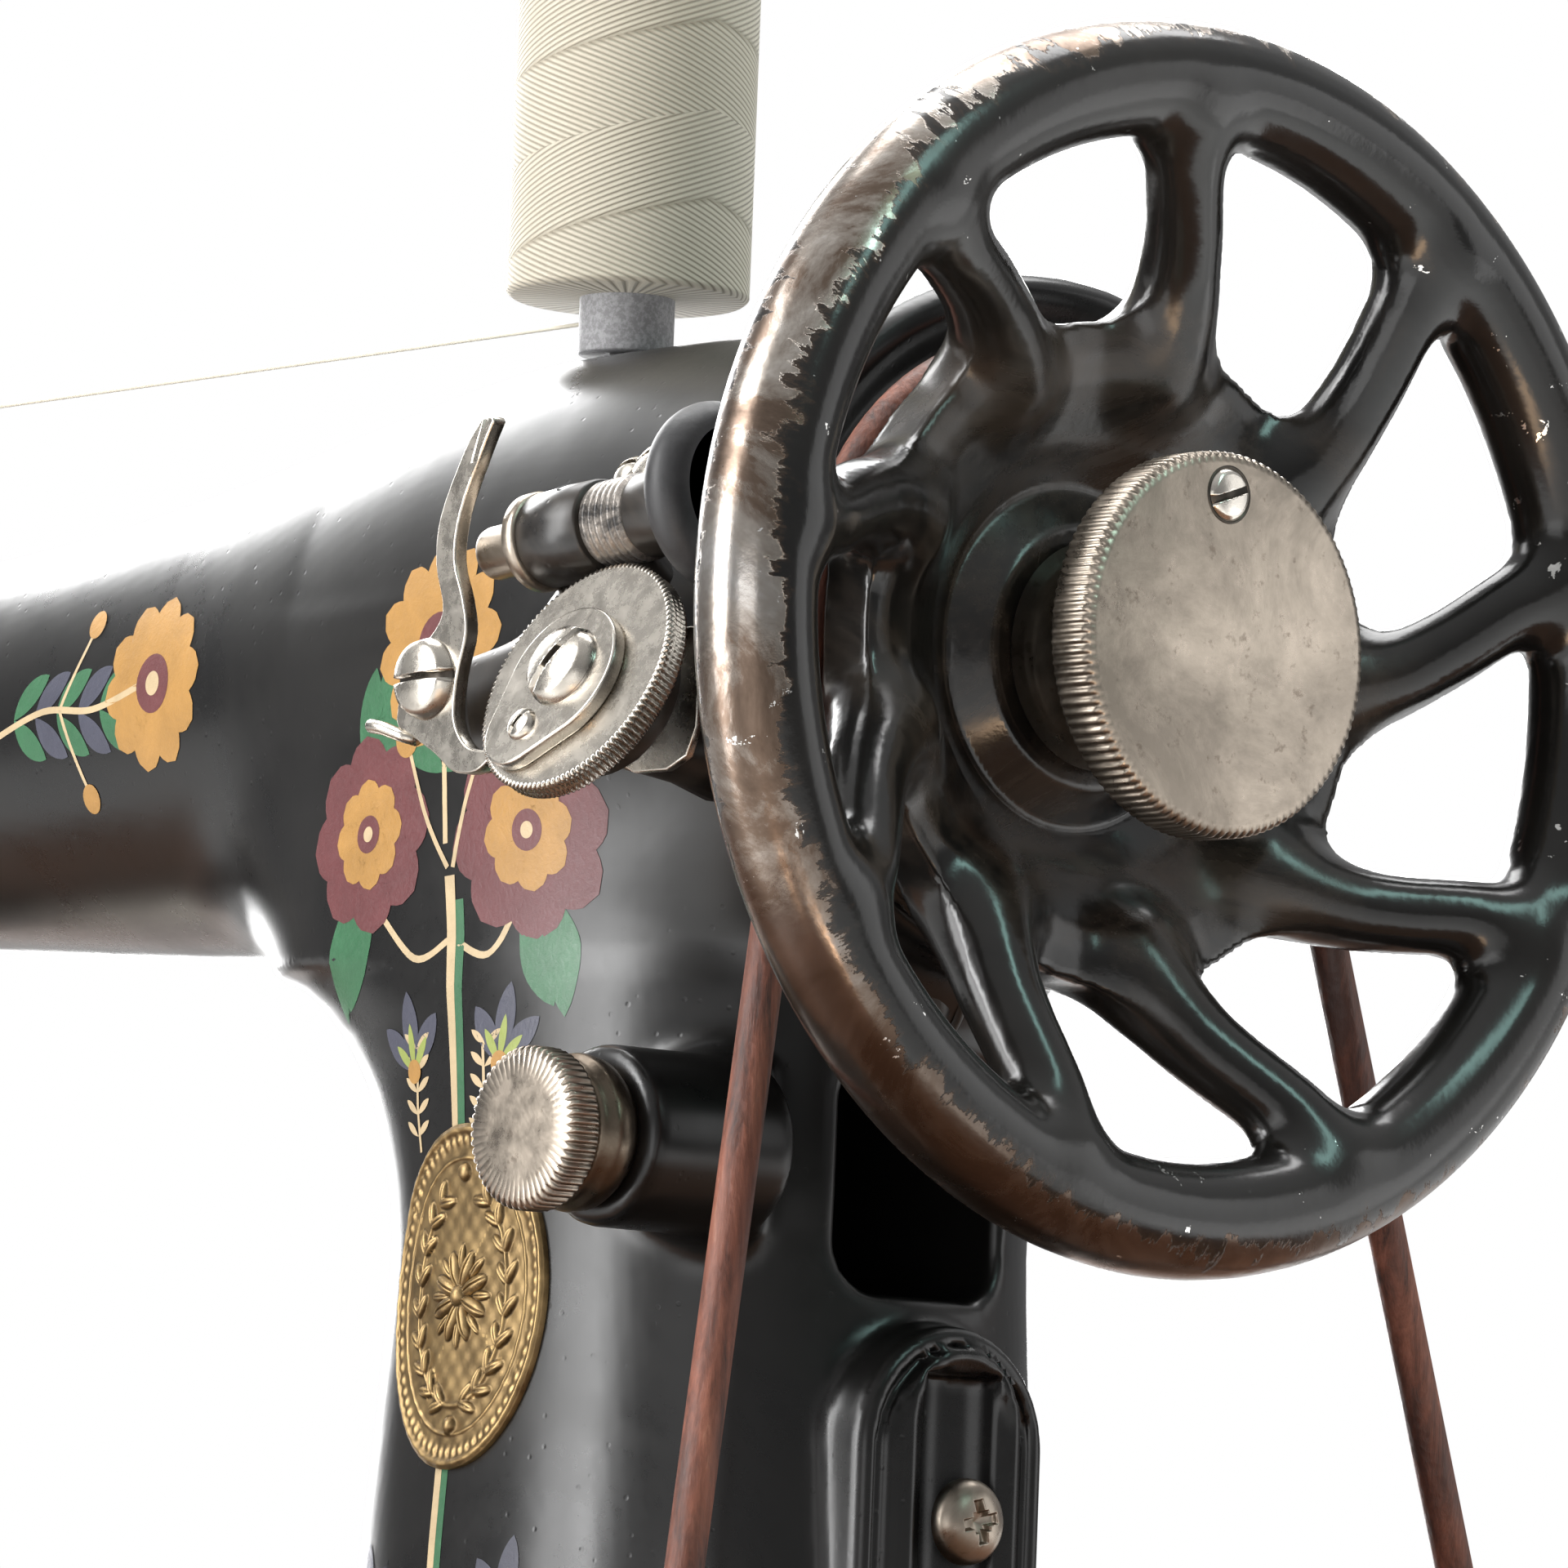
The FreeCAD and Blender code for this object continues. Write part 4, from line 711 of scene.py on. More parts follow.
def make_arm():
    field = Field((-372, -62, -168), (-24, 62, 54), 0.9)
    edges = [(-330, 24, -25, 0, 21), (-236, 26.6, -26.2, 0, 22), (-200, 29.7, -28.4, 0, 24),
             (-165, 34.7, -30.4, 0, 27), (-132, 40.3, -33.5, 0, 31.5),
             (-108, 43.6, -36, 0, 35), (-82, 44.0, -37, 0.5, 37.5), (-58, 43.6, -37, 3, 40),
             (-42, 44.6, -36.5, 6.5, 43), (-33, 46.2, -36, 8, 46)]
    stations = [(x, cy, hy, (top + bottom) / 2, (top - bottom) / 2)
                for x, top, bottom, cy, hy in edges]
    arm = loft_across(field, smooth_stations(stations), 0, 2.0)
    field.add(arm)

    fillet = 38.0
    start = -72.0
    levels = [-166, -160, -150, -130, -109, -90, -72, -64, -56, -50, -44, -40, -37, -35, -20, 0]
    widths = [(-166, 62, 52), (-160, 56, 47), (-150, 49.5, 42), (-130, 44.5, 38.5),
              (-109, 42.6, 37.4), (-90, 41.2, 36.0), (-72, 40.2, 35.2), (-40, 40.6, 35.6),
              (-20, 40, 34), (0, 30, 26)]
    heights, half_x, half_y = zip(*widths)
    rows = []
    for level in levels:
        wide = np.interp(level, heights, half_x)
        deep = np.interp(level, heights, half_y)
        bulge = 0.0
        if level > start:
            rise = min(level - start, fillet * 0.985)
            bulge = fillet - math.sqrt(fillet ** 2 - rise ** 2)
        rows.append((level, -82 - bulge / 2, wide + bulge / 2, 0, deep))
    pillar = loft_across(field, smooth_stations(rows, 6), 2, 2.35)
    field.add(pillar, 12)

    head = round_box(field, (-338, 0, -31), (26, 24, 64), 11)
    field.add(head, 16)
    arch = np.sqrt(field.y ** 2 + np.maximum(field.z + 95, 0) ** 2) - 15
    boss = round_up(arch, np.maximum(field.x + 35, -62 - field.x), 2.2)
    field.add(boss, 2.6)
    collar = disc_field(field, (-50, -35, -60), 1, 10.9, 11.5, 1.6)
    field.add(collar, 5)

    oval = np.sqrt(((field.y - 8.5) / 45.5) ** 2 + ((field.z - 5.2) / 41.2) ** 2)
    edge = (oval - 1) * 43
    bead = np.sqrt(edge ** 2 + (field.x + 34.2) ** 2) - 2.7
    field.add(bead, 1.5)
    depth = np.clip((field.x + 52) / 20, 0, 1.2)
    mouth = np.sqrt(((field.y - 8 * depth) / (14 + 27.5 * depth)) ** 2
                    + ((field.z - 5 * depth) / (14 + 24.5 * depth)) ** 2)
    cup = np.maximum((mouth - 1) * 26, -(field.x + 52))
    field.cut(cup, 1.5)

    window = round_box(field, (-48, 0.5, -62), (30, 13, 14.5), 6)
    field.cut(window, 2.2)
    moat = np.maximum(np.abs(arch + 3.2) - 0.75, -36.4 - field.x)
    field.cut(moat, 0.9)
    inner_arch = np.sqrt((field.y - 0.6) ** 2 + np.maximum(field.z + 92, 0) ** 2) - 8.4
    ridge = round_up(np.abs(inner_arch) - 0.8, np.maximum(field.x + 34.0, -40 - field.x), 0.5)
    field.add(ridge, 0.5)
    channel = np.sqrt((field.x + 34.2) ** 2 + (field.y - 0.6) ** 2) - 6.0
    field.cut(np.maximum(channel, field.z + 86), 0.9)
    slot = np.maximum(np.abs(field.x + 347) - 2.4, np.abs(field.z + 2) - 24)
    field.cut(np.maximum(slot, field.y + 18), 1.0)
    inner = round_box(field, (-352, 0, -31), (37, 19, 56), 5)
    field.cut(inner, 1.0)
    thing = field.mesh("arm_casting_skin")
    dress(thing, ENAMEL, "stand", "japan_enamel", "arm_casting")
    return BVHTree.FromPolygons([vertex.co for vertex in thing.data.vertices],
                                [face.vertices[:] for face in thing.data.polygons])


def make_cup():
    """The rough cast mouth inside the flange, round the shaft's bushing."""
    n = Nodes("rusty_casting")
    lumps = n.noise(160, 7, 0.75, 0.6)
    tint = n.steps(lumps, (0.30, (0.020, 0.014, 0.010)), (0.50, (0.085, 0.045, 0.024)),
                   (0.72, (0.20, 0.115, 0.062)))
    n.set(colour=tint, rough=0.62, metal=0.25, normal=n.bump(lumps, 0.8, 0.0012))
    rings = []
    for x, cy, cz, hy, hz in ((-34.6, 8.5, 5.2, 44.6, 40.2), (-36.5, 8.3, 5.1, 42.0, 38.2),
                              (-42, 5.5, 3.4, 32, 29.5), (-49.5, 1.5, 1.0, 18.5, 17.5),
                              (-50.8, 0.2, 0.2, 13.5, 13.5), (-46.5, 0, 0, 12.6, 12.6),
                              (-45.5, 0, 0, 11.6, 11.6), (-45.5, 0, 0, 8.3, 8.3)):
        ring = []
        for step in range(120):
            angle = 2 * math.pi * step / 120
            wobble = 1 + 0.008 * math.sin(5 * angle + x) + 0.006 * math.sin(13 * angle - x)
            ring.append(at(x, cy + hy * wobble * math.cos(angle),
                           cz + hz * wobble * math.sin(angle)))
        rings.append(ring)
    points, faces = bridge(rings, caps=False)
    cup = mesh_object("flange_cup", points, faces)
    dress(cup, n.material, "stand", "japan_enamel")


# ---------------------------------------------------------------- hand wheel
def make_wheel():
    field = Field((-31, -78, -78), (10, 78, 78), 0.75)
    radius = np.sqrt(field.y ** 2 + field.z ** 2)
    field.add(np.sqrt(field.x ** 2 + (radius - RIM_MIDDLE) ** 2) - RIM_BAR)
    drum = np.maximum(radius - 40, np.maximum(-27.8 - field.x, field.x + 11.5))
    dish_at = np.interp(radius, [0, 15.5, 19.8, 20.6, 26, 33, 36.5, 40],
                        [-16, -16, -19.6, -20.4, -16.0, -12.6, -11.8, -11.8])
    drum = np.maximum(drum, field.x - dish_at)
    drum = np.where(field.x < -20.4, np.maximum(drum, radius - 38.4), drum)
    field.add(drum, 0.8)
    groove = np.sqrt((field.x + 24.5) ** 2 + (radius - 38.2) ** 2) - 3.0
    field.cut(groove, 0.6)
    shape = [(36.5, -13.4, -15.0, 6.6), (39.5, -12.6, -13.0, 6.3), (43, -11.0, -10.6, 5.6),
             (47, -8.6, -8.2, 5.1), (51, -5.9, -5.6, 4.85), (55, -3.2, -3.2, 4.8),
             (59, -1.2, -1.3, 5.0), (63, 0.0, -0.3, 5.2)]
    for index in range(SPOKES):
        base = math.radians(93 + 360 / SPOKES * index)
        path = []
        for reach, lag, x, thick in shape:
            angle = base + math.radians(lag)
            path.append((x, reach * math.cos(angle), reach * math.sin(angle), thick))
        path = smooth_rows(path, 4)
        lows = np.array(path)[:, :3].min(0) - 18
        highs = np.array(path)[:, :3].max(0) + 18
        first = np.maximum(((lows - field.corner) / field.step).astype(int), 0)
        last = np.maximum(((highs - field.corner) / field.step).astype(int) + 1, 0)
        block = tuple(slice(a, b) for a, b in zip(first, last))
        part = Part(field, block)
        spoke = None
        for start, end in zip(path, path[1:]):
            piece = rod_field(part, start[:3], end[:3], start[3], end[3])
            spoke = piece if spoke is None else np.minimum(spoke, piece)
        field.value[block] = smooth_low(field.value[block], spoke, 5.0)
    bore = np.maximum(radius - 15.2, -16.5 - field.x)
    field.cut(bore, 0.6)
    thing = field.mesh("handwheel_skin")
    return dress(thing, WHEEL, "hand_wheel", "japan_enamel", "handwheel")


class Part:
    """A window on part of a field's grid."""

    def __init__(self, field, block):
        self.x = field.x[block]
        self.y = field.y[block]
        self.z = field.z[block]


def knurled(name, base, direction, profile, teeth, depth, first, last, segments_per_tooth=6):
    """A turned knob whose rows from first to last carry straight knurling."""
    def ripple(angle, index):
        if index < first or index > last:
            return 0.0
        wave = abs(math.sin(angle * teeth / 2))
        return -depth * (1 - wave) ** 1.5
    return lathe(name, base, direction, profile, teeth * segments_per_tooth, ripple)


def make_clutch_knob():
    knob = knurled(
        "clutch_knob_turned", at(0, 0, 0), ALONG,
        [(-15.5, 8), (-15.5, 13.8), (-13, 12.6), (-8, 12.2), (-3, 13.4), (-0.6, 17),
         (0, 20.8), (0.4, 22.0), (1.0, 22.7), (1.6, 23), (6.2, 23), (6.8, 22.7), (7.2, 22.2),
         (7.4, 21.4), (7.4, 8), (7.4, 0)], 116, 0.55, 8, 11, 5)
    dress(knob, NICKEL_KNOB, "clutch_knob", "nickel", "clutch_knob")
    screw_at = at(7.4, -0.8, 17.7)
    # A dark ring round the stop screw head: painted shade in the gap between screw and knob.
    ring = lathe("stop_screw_gap_shade", screw_at, ALONG,
                 [(-0.4, 3.5), (0.06, 3.5), (0.06, 3.15), (-0.4, 3.15)], 48)
    dress(ring, DARK_STEEL_AND_GAP_SHADE, "clutch_knob", "nickel")
    slotted_screw("stop_screw_head", screw_at, ALONG, 3.1, 0.9, 20, NICKEL_BRIGHT,
                  "clutch_knob", "clutch_stop_screw")


def slotted_screw(name, base, direction, radius, height, turn, material, body, *replaced,
                  slot=0.9):
    """A screw head with a milled slot: two half domes on a floor that is painted dark as shade in
    the slot.
    """
    direction, side, over = axes_of(direction)
    angle = math.radians(turn)
    right = side * math.cos(angle) + over * math.sin(angle)
    up = over * math.cos(angle) - side * math.sin(angle)
    points, faces = [], []
    half_slot = slot / 2
    rows, columns = 8, 24
    for sign in (1, -1):
        base_index = len(points)
        limit = math.asin(min(half_slot / radius, 0.9))
        for row in range(rows + 1):
            share = row / rows
            for column in range(columns + 1):
                sweep_angle = limit + (math.pi - 2 * limit) * column / columns
                x = math.cos(sweep_angle) * radius * share
                y = max(math.sin(sweep_angle) * radius * share, half_slot)
                far = math.hypot(x, y) / radius
                rim = max(0.0, 1 - far ** 2)
                edge = min(1.0, (1.0 - min(far, 1.0)) / 0.10)
                rise = height * (0.55 * math.sqrt(edge) + 0.45 * rim)
                points.append(base + (right * x + up * y * sign) * MM + direction * rise * MM)
        for row in range(rows):
            for column in range(columns):
                a = base_index + row * (columns + 1) + column
                quad = (a, a + 1, a + columns + 2, a + columns + 1)
                faces.append(quad if sign > 0 else quad[::-1])
        wall_top = [base_index + row * (columns + 1) for row in range(rows, -1, -1)]
        wall_top += [base_index + row * (columns + 1) + columns for row in range(1, rows + 1)]
        wall_low = []
        for index in wall_top:
            point = points[index]
            drop = (point - base).dot(direction)
            wall_low.append(len(points))
            points.append(point - direction * (drop + 0.15 * MM))
        for a, b, c, d in zip(wall_top, wall_top[1:], wall_low[1:], wall_low):
            faces.append((a, d, c, b) if sign > 0 else (a, b, c, d))
    head = mesh_object(name + "_top", points, faces)
    # The slot floor gets a dark material: painted shade at the bottom of the slot.
    floor = lathe(name + "_floor", base, direction,
                  [(-0.3, radius * 0.985), (0.10 * height, radius * 0.985), (0.10 * height, 0)], 48)
    head.data.materials.append(material)
    floor.data.materials.append(DARK_STEEL_AND_GAP_SHADE)
    whole = join(name, [head, floor])
    return dress(whole, None, body, "nickel", *replaced)


# ---------------------------------------------------------------- belt
def make_belt():
    """The belt: an arc round each wheel and the two straight strands between them."""
    line_x = middle("leather_belt").x
    band_at = JOINTS["band_wheel_spin"]["pos_m"]
    upper = Vector((line_x, WHEEL_AT.y, WHEEL_AT.z))
    lower = Vector((line_x, band_at[1], band_at[2]))
    small = BELT_ON_WHEEL * MM
    large = lower.z - low("leather_belt").z - BELT_RADIUS * MM
    down = (lower - upper).normalized()
    front = Vector((0, down.z, -down.y))
    lean = math.asin((large - small) / (lower - upper).length)

    def arc(centre, away, half, radius, steps):
        angles = [half * (2 * step / steps - 1) for step in range(steps + 1)]
        return [centre + (away * math.cos(angle) + front * math.sin(angle)) * radius
                for angle in angles]

    top_arc = arc(upper, -down, math.pi / 2 - lean, small, 40)
    low_arc = arc(lower, down, math.pi / 2 + lean, large, 90)
    run_down = [top_arc[-1].lerp(low_arc[-1], step / 60) for step in range(1, 60)]
    run_up = [low_arc[0].lerp(top_arc[0], step / 60) for step in range(1, 60)]
    belt = sweep("leather_belt_round", top_arc + run_down + low_arc[::-1] + run_up,
                 BELT_RADIUS - 0.02, 14, closed=True)
    dress(belt, LEATHER, "stand", "leather", "leather_belt")


# ---------------------------------------------------------------- spool and thread
def make_spool():
    base = Vector((middle("spool_thread").x, middle("spool_thread").y, 0))
    bottom, top = low("spool_thread").z, high("spool_thread").z
    radius = 15.55
    edge_height = 0.8
    rows = 900
    rings = []
    for row in range(rows + 1):
        share = row / rows
        edge = min(share, 1 - share) * (top - bottom) / MM
        rounding = 1 - 0.045 * max(1 - edge / edge_height, 0) ** 2
        level = base + UP * (bottom + (top - bottom) * share)
        rings.append([level + Vector((x, y, 0)) * MM
                      for x, y in circle_outline(radius * rounding, 360)])
    points, faces = bridge(rings)
    winding = mesh_object("spool_winding", points, faces)
    dress(winding, winding_material(base, bottom), "spool", "cotton", "spool_thread")
    core = lathe("spool_core_tube", Vector((base.x, base.y, low("spool_core").z)), UP,
                 [(0, 3.4), (0, 5.9), (0.25, 6.1), (75.6, 6.1), (76, 5.8), (76, 2.6),
                  (0.6, 2.6), (0.2, 3.2)], 64)
    dress(core, spool_grey(), "spool", "spool_plastic", "spool_core")


def spool_grey():
    n = Nodes("spool_grey")
    speck = n.noise(1500, 3, 0.7)
    tint = n.mix(n.steps(speck, (0.42, 0.55), (0.60, 0.0)), (0.34, 0.335, 0.345),
                 (0.13, 0.13, 0.13))
    return n.set(colour=tint, rough=0.55, normal=n.bump(speck, 0.2, 0.0002))


def winding_material(base, bottom):
    """Cross-wound thread: two crossing helices that take turns on top in long diamonds, with
    painted shade in the grooves between strands and along the seams.
    """
    n = Nodes("wound_thread")
    centre = n.scaled(n.place, (1, 1, 1), (-base.x, -base.y, -bottom))
    split = n.new("ShaderNodeSeparateXYZ")
    n.link(centre, split.inputs["Vector"])
    x, y, z = split.outputs
    around = n.new("ShaderNodeMath", operation="ARCTAN2")
    n.link(y, around.inputs[0])
    n.link(x, around.inputs[1])
    share = n.math("DIVIDE", around.outputs[0], 2 * math.pi)
    height = n.math("MULTIPLY", z, 1000.0)
    zig = n.math("PINGPONG", n.math("ADD", n.math("MULTIPLY", share, 2.0), 4.0), 1.0)
    band = n.math("DIVIDE", height, 11.5)
    one = n.math("ADD", band, zig)
    which = n.math("FRACT", n.math("MULTIPLY", one, 0.5))
    upper = n.steps(which, (0.495, 0.0), (0.505, 1.0))
    lay_a = n.math("ADD", n.math("MULTIPLY", height, 1.35), n.math("MULTIPLY", share, 52.0))
    lay_b = n.math("SUBTRACT", n.math("MULTIPLY", height, 1.35),
                   n.math("MULTIPLY", share, 52.0))
    thread_a = n.math("PINGPONG", lay_a, 0.5)
    thread_b = n.math("PINGPONG", lay_b, 0.5)
    ridge = n.mix(upper, thread_a, thread_b)
    # Painted shade: the thread is darker in the grooves between strands and along the seam where
    # the bands cross, lighter on the crests.
    ridge_value = n.steps(ridge, (0.0, 0.0), (0.32, 1.0))
    edge = n.math("ABSOLUTE", n.math("SUBTRACT", which, 0.5))
    seam = n.steps(edge, (0.004, 0.0), (0.03, 1.0))
    tone = n.mix(ridge_value, (0.21, 0.185, 0.135), (0.52, 0.475, 0.385))
    fuzz = n.noise(900, 4, 0.7)
    tone = n.mix(n.steps(fuzz, (0.3, 0.35), (0.7, 0.0)), tone, (0.40, 0.36, 0.28))
    tone = n.mix(n.math("MULTIPLY", n.math("SUBTRACT", 1.0, seam), 0.7), tone,
                 (0.25, 0.22, 0.16))
    normal = n.bump(ridge_value, 0.75, 0.0002)
    normal = n.bump(fuzz, 0.3, 0.0002, normal)
    return n.set(colour=tone, rough=0.7, sheen=0.2, normal=normal)


# ---------------------------------------------------------------- regulator and screws
def make_regulator():
    base = at(-50, -46.5, -60)
    collar = lathe("regulator_collar_turned", base, FRONT,
                   [(-1, 6), (-1, 7.4), (0.2, 8.2), (1.6, 9.2), (3.2, 9.5), (4.4, 9.3),
                    (4.7, 8.9), (5.6, 8.8), (6.3, 8.4), (6.4, 7.6), (6.4, 3), (6.4, 0)], 96)
    dress(collar, BRONZE, "stand", "bronze_dark", "regulator_collar")
    knob = knurled("regulator_knob_turned", base, FRONT,
                   [(5.8, 3), (6.7, 3), (6.7, 8.2), (7.0, 9.1), (7.3, 9.6), (7.7, 9.8),
                    (10.6, 9.8), (11.0, 9.6), (11.25, 9.2), (11.45, 8.6), (11.6, 6), (11.7, 0)],
                   54, 0.7, 4, 8)
    dress(knob, NICKEL_KNOB, "regulator", "nickel", "regulator_knob")


def cross_screw(name, base, direction, radius, height, material, body):
    """A domed screw head with a cross recess."""
    direction, side, over = axes_of(direction)
    rows, around = 48, 160
    rings = []
    turn = math.radians(12)
    for row in range(rows + 1):
        share = row / rows
        ring = []
        for step in range(around):
            angle = 2 * math.pi * step / around
            u = math.cos(angle) * radius * share
            v = math.sin(angle) * radius * share
            a = u * math.cos(turn) + v * math.sin(turn)
            b = v * math.cos(turn) - u * math.sin(turn)
            rise = height * (1 - share ** 2.6) ** 0.5
            arm_a = max(abs(a) - 2.6, abs(b) - 0.62)
            arm_b = max(abs(b) - 2.6, abs(a) - 0.62)
            heart = max(abs(a), abs(b)) - 1.15
            inside = min(arm_a, arm_b, heart)
            dip = min(max(0.12 - inside, 0) / 0.24, 1) * (1.7 - 0.35 * math.hypot(a, b))
            ring.append(base + (side * u + over * v) * MM
                        + direction * (rise - max(dip, 0)) * MM)
        rings.append(ring)
    rings.append([point - direction * 0.5 * MM for point in rings[-1]])
    points, faces = bridge(rings, caps=False)
    head = outward(mesh_object(name, points, faces))
    return dress(head, material, body, "nickel")


def make_head_screws():
    screw = cross_screw("pillar_cross_screw", at(-33.6, 0.6, -103.6), ALONG, 5.25, 3.0,
                        NICKEL_KNOB, "stand")
    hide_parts("head_screws")
    facing = Vector((0.9, -0.13, -0.42)).normalized()
    plug = lathe("pillar_plug", at(-41.5, -3.2, -41.5), facing,
                 [(-3, 0), (-3, 6.4), (0.9, 6.4), (1.3, 6.0), (1.3, 5.2), (0.5, 4.9), (0.5, 4.4),
                  (1.1, 4.0), (1.4, 2.4), (1.5, 0)], 64)
    dress(plug, ENAMEL_DUSTY, "stand", "japan_enamel")
    for z in (-77, 8):
        slotted_screw("face_plate_screw_%d" % (z + 100), at(-367.1, 0, z), -ALONG, 3.3, 1.3, 35,
                      NICKEL, "stand")


# ---------------------------------------------------------------- badge
def make_badge(tree):
    """An oval brass plaque: beaded border, laurel sprays and a rosette, bent to the pillar."""
    rows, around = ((150, 480))
    rho = np.linspace(0, 1, rows)[:, None]
    theta = np.linspace(0, 2 * np.pi, around, endpoint=False)[None, :]
    half_x, half_z = 15.3, 21.2
    x = rho * np.cos(theta) * half_x
    z = rho * np.sin(theta) * half_z
    height = np.full(x.shape, 0.55)

    def ridge(where, width, rise):
        return rise * np.exp(-((rho - where) / width) ** 2)

    height = height + ridge(0.965, 0.028, 0.55) + ridge(0.80, 0.010, 0.22)
    height = height + ridge(0.905, 0.03, 0.35) * (0.35 + 0.65 * np.cos(theta * 34) ** 2)

    def leaf(cx, cz, angle, length, width, rise):
        u = (x - cx) * math.cos(angle) + (z - cz) * math.sin(angle)
        v = (z - cz) * math.cos(angle) - (x - cx) * math.sin(angle)
        bump = np.clip(1 - (u / length) ** 2 - (v / width) ** 2, 0, 1) ** 0.55
        vein = 1 - 0.35 * np.exp(-(v / 0.12) ** 2)
        return rise * bump * vein

    relief = np.zeros(x.shape)
    for side in (-1, 1):
        for index in range(9):
            turn = math.radians(-78 + index * 17)
            cx = side * math.cos(turn) * 8.9
            cz = math.sin(turn) * 13.4
            heading = math.atan2(math.cos(turn) * 13.4, -side * math.sin(turn) * 8.9)
            for tilt in (-0.62, 0.62):
                relief = np.maximum(relief, leaf(
                    cx + math.cos(heading + tilt) * 1.3, cz + math.sin(heading + tilt) * 1.3,
                    heading + tilt, 1.75, 0.72, 0.75))
        stem = np.abs(np.hypot(x / 8.9, z / 13.4) - 1)
        relief = np.maximum(relief, np.where(z < 9, 0.35 * np.exp(-(stem / 0.028) ** 2), 0))
    for index in range(8):
        turn = math.pi * index / 4 + math.pi / 8
        relief = np.maximum(relief, leaf(math.cos(turn) * 3.0, math.sin(turn) * 3.4, turn,
                                         2.5, 1.05, 0.95))
        turn += math.pi / 8
        relief = np.maximum(relief, leaf(math.cos(turn) * 4.2, math.sin(turn) * 4.8, turn,
                                         1.7, 0.6, 0.6))
    relief = np.maximum(relief, 1.3 * np.clip(1 - (x ** 2 + z ** 2) / 1.9, 0, 1) ** 0.5)
    for cz in (-15.8, 15.2):
        relief = np.maximum(relief, 0.9 * np.clip(1 - (x ** 2 + (z - cz) ** 2) / 1.3, 0, 1) ** 0.5)
    height = height + relief
    height = height + 0.05 * np.sin(x * 2.3 + 1) * np.sin(z * 1.9)
    rings = [[on_front(tree, -86.6 + x[row, step], -78 + z[row, step])
              + FRONT * height[row, step] * MM for step in range(around)] for row in range(rows)]
    rings.append([point - FRONT * 1.3 * MM for point in rings[-1]])
    points, faces = bridge(rings, caps=False)
    plaque = outward(mesh_object("badge_relief", points, faces))
    dress(plaque, BRASS, "stand", "brass", "badge")


def on_front(tree, x, z):
    """The point of the casting's front that lies behind (x, z)."""
    hit = tree.ray_cast(at(x, -75, z), Vector((0, 1, 0)))
    return hit[0] if hit[0] is not None else at(x, -30, z)


# ---------------------------------------------------------------- painted ornament
class Ornament:
    """Patches of transfer paint laid on the front of the casting."""

    def __init__(self, tree):
        self.tree = tree
        self.points = {}
        self.faces = {}

    def patch(self, left, right, paint, layer=1, across=5):
        """A patch between two edges with the same number of points (x, z) in mm."""
        points = self.points.setdefault(paint, [])
        faces = self.faces.setdefault(paint, [])
        start = len(points)
        rows = len(left)
        for (ax, az), (bx, bz) in zip(left, right):
            for step in range(across + 1):
                share = step / across
                x, z = ax + (bx - ax) * share, az + (bz - az) * share
                hit, normal, _, _ = self.tree.ray_cast(at(x, -75, z), Vector((0, 1, 0)))
                if hit is None:
                    hit, normal = at(x, -30, z), FRONT
                points.append(hit + normal * (0.035 + 0.022 * layer) * MM)
        for row in range(rows - 1):
            for step in range(across):
                a = start + row * (across + 1) + step
                faces.append((a, a + 1, a + across + 2, a + across + 1))

    def petal(self, x, z, angle, length, width, paint, layer=1, tip=0.5, blunt=0.0, bend=0.0):
        """A petal from (x, z); angle in degrees from +X towards +Z, bend in degrees."""
        rows = 14
        left, right = [], []
        px, pz = x, z
        for row in range(rows + 1):
            share = row / rows
            heading = math.radians(angle + bend * share)
            if row:
                px += math.cos(heading) * length / rows
                pz += math.sin(heading) * length / rows
            belly = math.sin(math.pi * share ** (0.55 + tip)) ** (0.75 - 0.35 * blunt)
            half = width / 2 * max(belly, 0.02)
            left.append((px - math.sin(heading) * half, pz + math.cos(heading) * half))
            right.append((px + math.sin(heading) * half, pz - math.cos(heading) * half))
        self.patch(left, right, paint, layer)

    def stem(self, route, width, paint, layer=1, end=None):
        """A line of paint along points (x, z)."""
        curve = [Vector((x, 0, z)) for x, z in curved(route)]
        left, right = [], []
        end = width if end is None else end
        for index, point in enumerate(curve):
            ahead = curve[min(index + 1, len(curve) - 1)]
            behind = curve[max(index - 1, 0)]
            way = (ahead - behind).normalized()
            half = (width + (end - width) * index / (len(curve) - 1)) / 2
            left.append((point.x - way.z * half, point.z + way.x * half))
            right.append((point.x + way.z * half, point.z - way.x * half))
        self.patch(left, right, paint, layer, 2)

    def disc(self, x, z, radius, paint, layer=1, start=0, stop=360, squash=1.0):
        rows = 26
        inner, outer = [], []
        for row in range(rows + 1):
            angle = math.radians(start + (stop - start) * row / rows)
            inner.append((x, z))
            outer.append((x + math.cos(angle) * radius * squash, z + math.sin(angle) * radius))
        self.patch(inner, outer, paint, layer)

    def done(self, paints):
        for paint, points in self.points.items():
            thing = mesh_object("ornament_" + paint, points, self.faces[paint])
            face_front(thing)
            dress(thing, paints[paint], "stand", "japan_enamel")


def face_front(thing):
    """Turn every face so that it looks to the front."""
    work = bmesh.new()
    work.from_mesh(thing.data)
    work.normal_update()
    for face in work.faces:
        if face.normal.y > 0:
            face.normal_flip()
    work.to_mesh(thing.data)
    work.free()


def blossom(art, x, z, radius, petals, paint, heart, layer=2):
    """A round flower: a ring of petals about a disc with a cream eye."""
    width = 2 * radius * math.sin(math.pi / petals) * 0.92
    for index in range(petals):
        art.petal(x, z, 360 * index / petals + 8, radius, width, paint, layer, 0.9, 0.8)
    art.disc(x, z, radius * 0.34, heart, layer + 1)
    art.disc(x, z, radius * 0.14, "cream", layer + 2)


